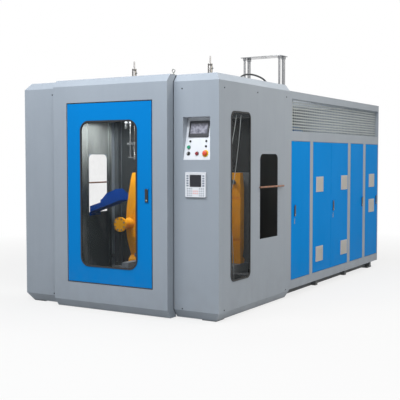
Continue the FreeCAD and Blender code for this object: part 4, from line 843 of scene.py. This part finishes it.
def hose():
    """Hydraulic hose: one NURBS line through the route's points, with a turned fitting at each end."""
    hose_x = 700
    route = [(1218, CABIN_ROOF + 24), (1230, CABIN_ROOF + 97), (1545, CABIN_ROOF + 143),
             (1925, CABIN_ROOF + 88), (1940, CABINET_ROOF + 30)]
    curve = bpy.data.curves.new("hydraulic_hose_line", "CURVE")
    curve.dimensions = "3D"
    line = curve.splines.new("NURBS")
    line.points.add(len(route) - 1)
    for point, (y, z) in zip(line.points, route):
        point.co = (*at(hose_x, y, z), 1)
    line.order_u = 3
    line.use_endpoint_u = True
    curve.bevel_depth = 0.0095
    curve.bevel_resolution = 4
    curve.resolution_u = 12
    curve.use_fill_caps = True
    curve.materials.append(LOOK["hose_rubber"])
    item = bpy.data.objects.new("roof_hose", curve)
    bpy.context.scene.collection.objects.link(item)
    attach(item, "machine")
    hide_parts("hydraulic_hose")
    ends = []
    for (y, z), roof in ((route[0], CABIN_ROOF), (route[-1], CABINET_ROOF)):
        rise = (z - roof) / 1000
        fitting = lathe([(0.0150, 0), (0.0150, 0.020), (0.0135, 0.022), (0.0125, 0.022),
                         (0.0125, rise + 0.012), (0.0105, rise + 0.014)], 6)
        ends.append(fit(fitting, at(hose_x, y, roof), TO_TOP, LOOK["bright_chrome"]))
    fittings = piece("hose_fittings", ends)


def lifting_eye():
    """Forged lifting eye: a torus on a collared shank."""
    eye_x, eye_y = 655, 30
    eye = torus(0.0148, 0.0040, 36, 12)
    shank = lathe([(0.0120, 0), (0.0120, 0.0045), (0.0108, 0.006), (0.0066, 0.0068), (0.0058, 0.012),
                   (0.0064, 0.0225)], 20)
    piece("lifting_eye", [fit(eye, at(eye_x, eye_y, CABIN_ROOF + 36), TO_FRONT, BOLT_STEEL),
                          fit(shank, at(eye_x, eye_y, CABIN_ROOF), TO_TOP, BOLT_STEEL)],
          replaces=("eye_bolt",))


def loader_columns():
    """Four polished columns with collars and nuts, on bolted foot plates, under a top plate with a port."""
    polished = LOOK["column_steel"]
    top, middle_y, pair_x = 2785, 3220, 250
    high = (top - CABINET_ROOF) / 1000
    foot = slab(0.050, 0.110, 0.005, edge(0.012))
    bolt = hexagon_head(0.017, 0.008)
    parts = []
    for side in (-1, 1):
        middle = at(side * pair_x, middle_y, CABINET_ROOF)
        parts += [fit(foot, middle, TO_TOP, polished),
                  repeat(bolt, four_corners(middle, 0.035, 0.095, 0.0118), TO_TOP, BOLT_STEEL)]
        for y, radius in ((3158, 0.014), (3282, 0.022)):
            column = lathe([(radius + 0.010, 0.0115), (radius + 0.010, 0.020), (radius + 0.006, 0.024),
                            (radius, 0.0245), (radius, high - 0.030), (radius + 0.007, high - 0.029),
                            (radius + 0.008, high - 0.027), (radius + 0.008, high - 0.002),
                            (radius, high + 0.001)], 28)
            parts.append(fit(column, at(side * pair_x, y, CABINET_ROOF), TO_TOP, polished))
    on_bore, on_rim = True, False
    plate = bored_plate(0.290, 0.100, 0.042,
                        [(on_bore, 1, 0.0), (on_rim, 1, 0.0), (on_rim, 1, 0.0092), (on_rim, 0.997, 0.010),
                         (on_bore, 1.02, 0.010), (on_bore, 1, 0.0092)])
    parts.append(fit(plate, at(0, middle_y, top), TO_TOP, polished))
    piece("loader_columns", parts, replaces=("loader_stand",))


# ---------------------------------------------------------------- blow pins

PIN_X, PIN_Y = 480, 1000
GUIDES_X = (-57, 57)                # the guide rods, from the pin


def blow_cylinder_barrels():
    """Round barrels with a gland, two ports on the side and a bolted foot, on the beam below the roof."""
    chrome = LOOK["bright_chrome"]
    barrel = collar([(0.0092, 0.018), (0.0250, 0.018), (0.0250, 0.474), (0.0242, 0.476), (0.0226, 0.4765),
                     (0.0226, 0.480), (0.0246, 0.4805), (0.0250, 0.482), (0.0250, 0.496), (0.0238, 0.4985),
                     (0.0135, 0.4995), (0.0128, 0.5000), (0.0092, 0.5000)])
    foot = slab(0.044, 0.044, 0.006, edge(0.0195, 0.001))
    port = hexagon_head(0.016, 0.011)
    bolt = hexagon_head(0.013, 0.006)
    parts = []
    for x in (-PIN_X, PIN_X):
        base = at(x, PIN_Y, 1960)
        ports = [base + (0.0242, 0, height) for height in (0.07, 0.45)]
        parts += [fit(barrel, base, TO_TOP, chrome), fit(foot, base, TO_TOP, chrome),
                  repeat(port, ports, TO_RIGHT, BOLT_STEEL),
                  repeat(bolt, four_corners(base, 0.034, 0.034, 0.0193), TO_TOP, BOLT_STEEL)]
    piece("blow_barrels", parts, replaces=("blow_cylinders",))


def moving_blow_pins():
    """Rod, cross plate, stepped pin and stripper plate, with two guide rods and three clamp nuts."""
    steel = LOOK["guide_steel"]
    rod = lathe([(0.0086, -0.001), (0.0086, 0.893), (0.0070, 0.8965), (0.0040, 0.897)], 20)
    pin = lathe([(0.0050, 0), (0.0092, 0.002), (0.0104, 0.012), (0.0104, 0.040), (0.0126, 0.044),
                 (0.0126, 0.060), (0.0110, 0.063), (0.0110, 0.115), (0.0138, 0.118), (0.0138, 0.168)])
    cross_plate = slab(0.080, 0.035, 0.008, edge(0.024, 0.0012))
    guide = lathe([(0.0062, 0), (0.0078, 0.002), (0.0078, 0.716), (0.0062, 0.718)], 20)
    nut = hexagon_head(0.022, 0.010)
    stripper = slab(0.076, 0.024, 0.006, edge(0.012, 0.0010))
    for x, name in ((-PIN_X, "left"), (PIN_X, "right")):
        parts = [fit(rod, at(x, PIN_Y, 1640), TO_TOP, LOOK["bright_chrome"]),
                 fit(pin, at(x, PIN_Y, 1462), TO_TOP, steel),
                 fit(cross_plate, at(x, PIN_Y, 1630), TO_TOP, steel),
                 repeat(guide, [at(x + offset, PIN_Y, 1482) for offset in GUIDES_X], TO_TOP, steel),
                 repeat(nut, [at(x + offset, PIN_Y, 1654) for offset in (-57, 0, 57)], TO_TOP, BOLT_STEEL),
                 fit(stripper, at(x, PIN_Y, 1486), TO_TOP, steel)]
        piece(name + "_pin_unit", parts, name + "_blowing_pin", (name + "_blow_pin",))


def guide_bushes():
    """Below each cylinder seat: flanged bushes for the guide rods, the gland between them, and two cheeks."""
    steel = LOOK["guide_steel"]
    bush = collar([(0.0086, 0), (0.0150, 0), (0.0160, 0.001), (0.0160, 0.056), (0.0250, 0.058),
                   (0.0260, 0.059), (0.0260, 0.0685), (0.0086, 0.0685)], 24)
    gland = collar([(0.0100, 0), (0.0200, 0), (0.0215, 0.0015), (0.0215, 0.030), (0.0290, 0.032),
                    (0.0290, 0.0385), (0.0100, 0.0385)], 24)
    cheek = slab(0.0040, 0.060, 0.003, edge(0.120))
    parts = []
    for x in (-PIN_X, PIN_X):
        parts += [repeat(bush, [at(x + offset, PIN_Y, 1861) for offset in GUIDES_X], TO_TOP, steel),
                  fit(gland, at(x, PIN_Y, 1891), TO_TOP, steel),
                  repeat(cheek, [at(x + offset, PIN_Y, 1809) for offset in (-86, 86)], TO_TOP, steel)]
    piece("guide_bushes", parts)


# ---------------------------------------------------------------- inside the cabin

LINING_LOW, LINING_TOP = 0.130, 2.160
LINING_X = 1.1475                   # the right lining's outer face
SHEET = 0.0012                      # thickness of the lining
HEM = 0.016                         # width of its folded edges


def inward_from(side):
    """Rows for a sheet on a cabin side: along Y, up, and in towards the middle."""
    return np.array([[0, 1.0, 0], [0, 0, 1.0], [-side, 0, 0]])


def side_lining(side, strips, hatch):
    """One cabin side: folded strips before and after the hatch, and a sheet with the hatch cut out of it."""
    inward = inward_from(side)
    corner = np.array([side * LINING_X, FRONT, 0])
    front, rear, sill, head = hatch
    margin = 0.026
    middle_z = (LINING_TOP + LINING_LOW) / 2
    opening = (front + margin, rear - margin, sill, head)
    cut_sheet = open_sheet((front, rear, LINING_LOW, LINING_TOP), opening, SHEET)
    hem = slab(SHEET / 2, (LINING_TOP - LINING_LOW) / 2, 0.0003, block(HEM), 2)
    parts = [fit(folded_strip(start, end, LINING_LOW, LINING_TOP, HEM, SHEET), corner, inward, ZINC)
             for start, end in strips]
    parts.append(fit(cut_sheet, corner, inward, ZINC))
    parts += [fit(hem, corner + (0, y, middle_z), inward, ZINC) for y in (front + SHEET / 2, rear - SHEET / 2)]
    return parts


def hole_shade_dots(hatch):
    """Dark domed dots up both edges of the left hatch: painted shade standing in for the lining's
    perforations.
    """
    front, rear = hatch[:2]
    inset, first, past, pitch = 0.012, 0.892, 1.52, 0.044
    # painted shade: dark domed dots where the lining is perforated
    hole_dot = lathe([(0.0052, 0.0012), (0.0050, 0.0022), (0.0036, 0.0030), (0.0001, 0.0032)], 10)
    rows = [(-LINING_X, FRONT + y, z)
            for y in (front + inset, rear - inset) for z in np.arange(first, past, pitch)]
    return repeat(hole_dot, rows, inward_from(-1), SCREW_AND_HOLE_SHADE_BLACK)


def cabin_lining():
    """Zinc sheets on the inside of the two cabin sides, with hems and dark dots of painted shade for the left
    hatch's perforations, and a rear sheet in a dark grey of painted shade.
    """
    left_hatch, right_hatch = (1.004, 1.396, 0.852, 1.534), (0.790, 1.260, 0.682, 1.534)
    parts = side_lining(-1, ((0.640, 0.998), (1.402, 1.440)), left_hatch) + [hole_shade_dots(left_hatch)]
    parts += side_lining(1, ((0.640, 0.784), (1.266, 1.440)), right_hatch)
    # the rear sheet's dark grey is painted shade for the back of the cabin
    rear_sheet = open_sheet((-1.030, 1.030, LINING_LOW, LINING_TOP), (-0.125, 0.125, 1.675, 1.925), SHEET)
    to_front = np.array([[1.0, 0, 0], [0, 0, 1.0], [0, -1.0, 0]])
    parts.append(fit(rear_sheet, (0, FRONT + 1.5035, 0), to_front, REAR_SHADE_GREY))
    piece("cabin_lining", parts, angle=30)


def clamp_arm():
    """Bowed outer arm of the left front platen with a flanged hub, like the platen's own ribs.

    The outline in (Y, Z) is a closed curve through the arm's bows; the arm is that outline carried along X,
    with its corners rounded off over the last two millimetres.
    """
    yellow = LOOK["platen_yellow"]
    outline = np.array([(762, 368), (762, 1330), (722, 1330), (690, 1250), (655, 1120), (622, 980), (606, 860),
                        (606, 740), (622, 640), (660, 540), (696, 460), (650, 420), (640, 368)], float)
    inward = outline.mean(axis=0) - outline
    inward /= np.linalg.norm(inward, axis=1, keepdims=True)
    rings = []
    for x, inset in ((-232.5, 0.0), (-310.0, 0.0), (-312.0, 0.8), (-312.5, 2.0)):
        y, z = (outline + inward * inset).T
        rings.append(np.column_stack([np.full(len(y), x / 1000), y / 1000 + FRONT, z / 1000]))
    arm = np.concatenate(rings), capped(len(rings), len(outline)), yellow
    hub = lathe([(0.030, -0.010), (0.075, -0.008), (0.0755, 0.0), (0.0755, 0.016), (0.073, 0.018),
                 (0.052, 0.019), (0.050, 0.024), (0.050, 0.130), (0.056, 0.140), (0.062, 0.165),
                 (0.062, 0.190)], 40)
    where = at(-271, 446, 800)
    bolt_circle = circle_of(where - (0, 0.0075, 0), 0.060, TO_FRONT, 8, 0.39)
    piece("left_clamp_arm", [arm, fit(hub, where, TO_REAR, yellow),
                             repeat(hexagon_head(0.016, 0.008), bolt_circle, TO_FRONT, BOLT_STEEL)],
          "left_front_mould_plate", angle=25)


def air_lines():
    """Thin air tubes from a valve block on the right post to the side rail and base, and the chute's stay."""
    fitting_high = 0.009
    valve = slab(0.060, 0.020, 0.003, edge(0.030, 0.001))
    fitting = lathe([(0.0042, 0), (0.0042, 0.008), (0.0034, 0.010)], 12)
    where = at(1006, 175, 1700)
    ports = [where + (x, 0.0, -fitting_high) for x in (-0.045, -0.022, 0.0, 0.022, 0.045)]
    rail = [at(1050, y, 1900) for y in (430, 520, 610)]
    base = [at(1004, y, 110) for y in (470, 560)]
    fittings = ports + [spot - (0, 0, fitting_high) for spot in rail] + base
    parts = [fit(valve, where, TO_TOP, VALVE_BLUE), repeat(fitting, fittings, TO_TOP, BOLT_STEEL)]
    for start, end, sag, bulge in ((ports[0], rail[0], 0.26, (-0.08, 0.03, 0)),
                                   (ports[1], rail[1], 0.46, (-0.05, 0.06, 0)),
                                   (ports[3], rail[2], 0.66, (-0.02, 0.04, 0)),
                                   (ports[2], base[0], 0.05, (-0.04, 0.16, 0)),
                                   (ports[4], base[1], -0.02, (0.01, 0.06, 0))):
        parts.append((*tube(hung(start, end, sag, bulge), 0.0026), AIR_LINE))
    stay = tube([at(-738, 1238, 1004), at(-738, 1320, 940), at(-738, 1505, 795)], 0.0035)
    parts.append((*stay, BOLT_STEEL))
    piece("air_lines_and_stay", parts)


# ---------------------------------------------------------------- inside the cabinet

def rack_devices():
    """Behind the leaves: a raised cover, two terminal rows and a lamp on every rack device, slotted ducts.

    Line n of the rack holds 6 - n devices over the same width, each line 15 mm deeper than the one below.
    """
    rack_start, rack_wide, gap = 2200, 990, 14
    lowest_middle, line_pitch, lowest_face, deeper = 445, 320, 780, 15
    terminal_pitch, terminal_rows = 11, (-51, 51)
    cover_high, duct_face, duct_above = 0.005, 766, 155
    dark, green = LOOK["lever_plastic"], LOOK["green_plastic"]
    clamp = slab(0.0042, 0.0062, 0.0008, [(0, 0), (0, 0.0020), (0.0006, 0.0026)], 2)
    screw = slab(0.0026, 0.0026, 0.0010, block(0.0034), 2)
    lamp = lathe([(0.0034, 0), (0.0034, 0.0022), (0.0020, 0.0034), (0.0006, 0.0038)], 10)
    comb = slab(0.0018, 0.0220, 0.0008, block(0.0004), 2)
    parts = []
    for line in range(4):
        count, middle, front = 6 - line, lowest_middle + line_pitch * line, lowest_face + deeper * line
        pitch = rack_wide / count
        wide = pitch - gap
        centres = [rack_start + (item + 0.5) * pitch - gap / 2 for item in range(count)]
        steps = np.arange(9 - wide / 2, wide / 2 - 8, terminal_pitch)
        terminals = [at(front, y + step, middle + high)
                     for y in centres for step in steps for high in terminal_rows]
        cover = slab(wide / 2000 - 0.005, 0.036, 0.004, edge(cover_high, 0.0018))
        window = slab(wide / 2000 - 0.030, 0.010, 0.002, block(0.0006))
        on_cover = front + cover_high * 1000
        slots = [at(duct_face, y, middle + duct_above) for y in np.arange(2190, 3190, 13)]
        parts += [repeat(cover, [at(front, y, middle) for y in centres], TO_RIGHT, LOOK["rack_plastic"]),
                  repeat(window, [at(on_cover, y, middle - 12) for y in centres], TO_RIGHT, dark),
                  repeat(lamp, [at(on_cover, y, middle + 16) for y in centres], TO_RIGHT, green),
                  repeat(clamp, terminals, TO_RIGHT, dark),
                  repeat(screw, terminals, TO_RIGHT, LOOK["key_metal"]),
                  repeat(comb, slots, TO_RIGHT, dark)]
    piece("rack_covers", parts)


def pump_motor_ribs():
    """Cooling ribs all round the pump's motor, left out at its terminal box, under a round cowl."""
    enamel = LOOK["drive_paint"]
    motor_x, motor_y, motor_radius = 800, 1830, 0.1085
    rib_count, terminal_box = 36, 0.58           # the box takes this angle to each side of the right
    rib = slab(0.0016, 0.1900, 0.0012, [(0, -0.004), (0, 0.010), (0.0008, 0.0116)], 2)
    cowl = lathe([(0.1215, 0), (0.1235, 0.002), (0.1235, 0.062), (0.118, 0.070), (0.080, 0.0725),
                  (0.076, 0.071), (0.040, 0.0725), (0.036, 0.071)], 40)
    parts = []
    for angle in np.linspace(0, FULL_TURN, rib_count, endpoint=False):
        if abs(math.remainder(angle, FULL_TURN)) >= terminal_box:
            out = np.array([math.cos(angle), math.sin(angle), 0])
            parts.append(fit(rib, at(motor_x, motor_y, 780) + motor_radius * out, axes(out), enamel))
    parts.append(fit(cowl, at(motor_x, motor_y, 985), TO_TOP, enamel))
    piece("pump_motor_cowl", parts)


# ---------------------------------------------------------------- stage

# name, place, aim, (width, height), watts, colour
LAMPS = (
    ("front soft lamp", (2.0, -6.8, 6.4), (0.4, -2.2, 1.6), (4.5, 3.5), 215, (0.90, 0.95, 1.0)),
    ("front top lamp", (-0.1, -4.6, 4.7), (-0.2, -2.2, 2.3), (4.5, 0.8), 140, (0.95, 0.97, 1.0)),
    ("side soft lamp", (6.6, 0.3, 6.2), (1.1, 0.3, 1.8), (5.0, 3.5), 180, (1.0, 0.93, 0.82)),
    ("side top lamp", (3.4, -0.5, 4.6), (1.1, -0.3, 2.1), (0.8, 4.5), 50, (1.0, 0.94, 0.86)),
    ("top soft lamp", (0.5, -0.5, 8.0), (0, 0, 0), (7.0, 7.0), 360, (1, 1, 1)),
    ("cabin lamp", (-0.62, -1.72, 2.10), (-1.15, -1.15, 1.75), (0.5, 0.3), 15, (0.97, 1.0, 0.98)),
    ("blow pin lamp", (-0.25, -1.55, 2.12), (-0.45, -1.2, 1.6), (0.3, 0.2), 9, (1.0, 1.0, 1.0)),
    ("platen lamp", (0.0, -1.95, 1.95), (-0.2, -1.6, 0.9), (0.3, 0.2), 4.5, (1.0, 0.98, 0.9)),
    ("cabin side lamp", (0.90, -1.90, 2.1), (0.75, -1.7, 1.2), (0.3, 0.2), 4, (1.0, 0.97, 0.9)),
    ("cabinet lamp", (0.20, 0.75, 1.72), (0.6, 0.75, 2.2), (2.6, 0.4), 16, (1.0, 1.0, 1.0)),
)


def shown(tree):
    """1 where a ray comes from the camera, a reflection or a pane, and 0 where it only brings light."""
    ray = add(tree, "ShaderNodeLightPath").outputs
    seen = maths(tree, "MAXIMUM", ray["Is Camera Ray"], ray["Is Glossy Ray"])
    return maths(tree, "MAXIMUM", seen, ray["Is Transmission Ray"])


def white_surroundings():
    """A world that looks white and gives little light of its own."""
    own_light = 0.37
    world = bpy.data.worlds.new("studio")
    bpy.context.scene.world = world
    world.use_nodes = True
    tree = world.node_tree
    background = tree.nodes["Background"]
    background.inputs["Color"].default_value = WHITE
    feed(tree, background.inputs["Strength"], share(tree, shown(tree), 0.0, 1.0, own_light, 1.0))


def pale_floor():
    """Grey floor that takes shadows, whitened more the further it is from the middle."""
    reach, near, far, near_white = 40, 3.2, 7.0, 0.78
    material, tree, shader = new_look("pale floor", 0.9)
    shader.inputs["Base Color"].default_value = (0.5, 0.5, 0.5, 1)
    white = add(tree, "ShaderNodeEmission", {"Color": WHITE, "Strength": 1.0})
    away = add(tree, "ShaderNodeVectorMath", {0: place_on_object(tree)}, operation="LENGTH").outputs["Value"]
    whiteness = maths(tree, "MULTIPLY", shown(tree), share(tree, away, near, far, near_white, 1.0))
    mixed = add(tree, "ShaderNodeMixShader", {0: whiteness, 1: shader.outputs[0], 2: white.outputs[0]})
    tree.links.new(mixed.outputs[0], tree.nodes["Material Output"].inputs["Surface"])
    mesh = bpy.data.meshes.new("floor")
    mesh.from_pydata([(-reach, -reach, 0), (reach, -reach, 0), (reach, reach, 0), (-reach, reach, 0)], [],
                     [(0, 1, 2, 3)])
    mesh.materials.append(material)
    floor = bpy.data.objects.new("floor", mesh)
    bpy.context.scene.collection.objects.link(floor)


def lamps():
    """Soft even light from the front, the right side and above, and small lamps inside the machine."""
    for name, place, aim, size, power, colour in LAMPS:
        data = bpy.data.lights.new(name, "AREA")
        data.shape = "RECTANGLE"
        data.size, data.size_y = size
        data.energy = power
        data.color = colour
        lamp = bpy.data.objects.new(name, data)
        lamp.location = place
        backwards = axes(np.array(place, float) - np.array(aim, float))
        lamp.rotation_euler = Matrix(backwards.T.tolist()).to_euler()
        lamp.visible_camera = False
        bpy.context.scene.collection.objects.link(lamp)


def photograph_camera():
    """The camera that the photograph's edges were solved for."""
    data = bpy.data.cameras.new("camera")
    data.sensor_width = 36
    data.lens = 71.70
    camera = bpy.data.objects.new("camera", data)
    camera.location = (4.6443, -8.3606, 1.4902)
    camera.rotation_euler = (math.radians(86.95), 0, math.radians(30.87))
    bpy.context.scene.collection.objects.link(camera)
    bpy.context.scene.camera = camera


paint_cad_nodes()
cover_screws()
console_panel()
console_screen()
console_rings()
push_buttons()
emergency_button()
key_selector()
controller_face()
lock_cylinders()
hanging_keys()
punched_net()
hose()
lifting_eye()
blow_cylinder_barrels()
moving_blow_pins()
guide_bushes()
loader_columns()
hatch_bars()
door_gasket_and_gap_shade()
cabin_lining()
clamp_arm()
rack_devices()
pump_motor_ribs()
air_lines()

bpy.context.scene.view_settings.view_transform = "Standard"
white_surroundings()
pale_floor()
lamps()
photograph_camera()
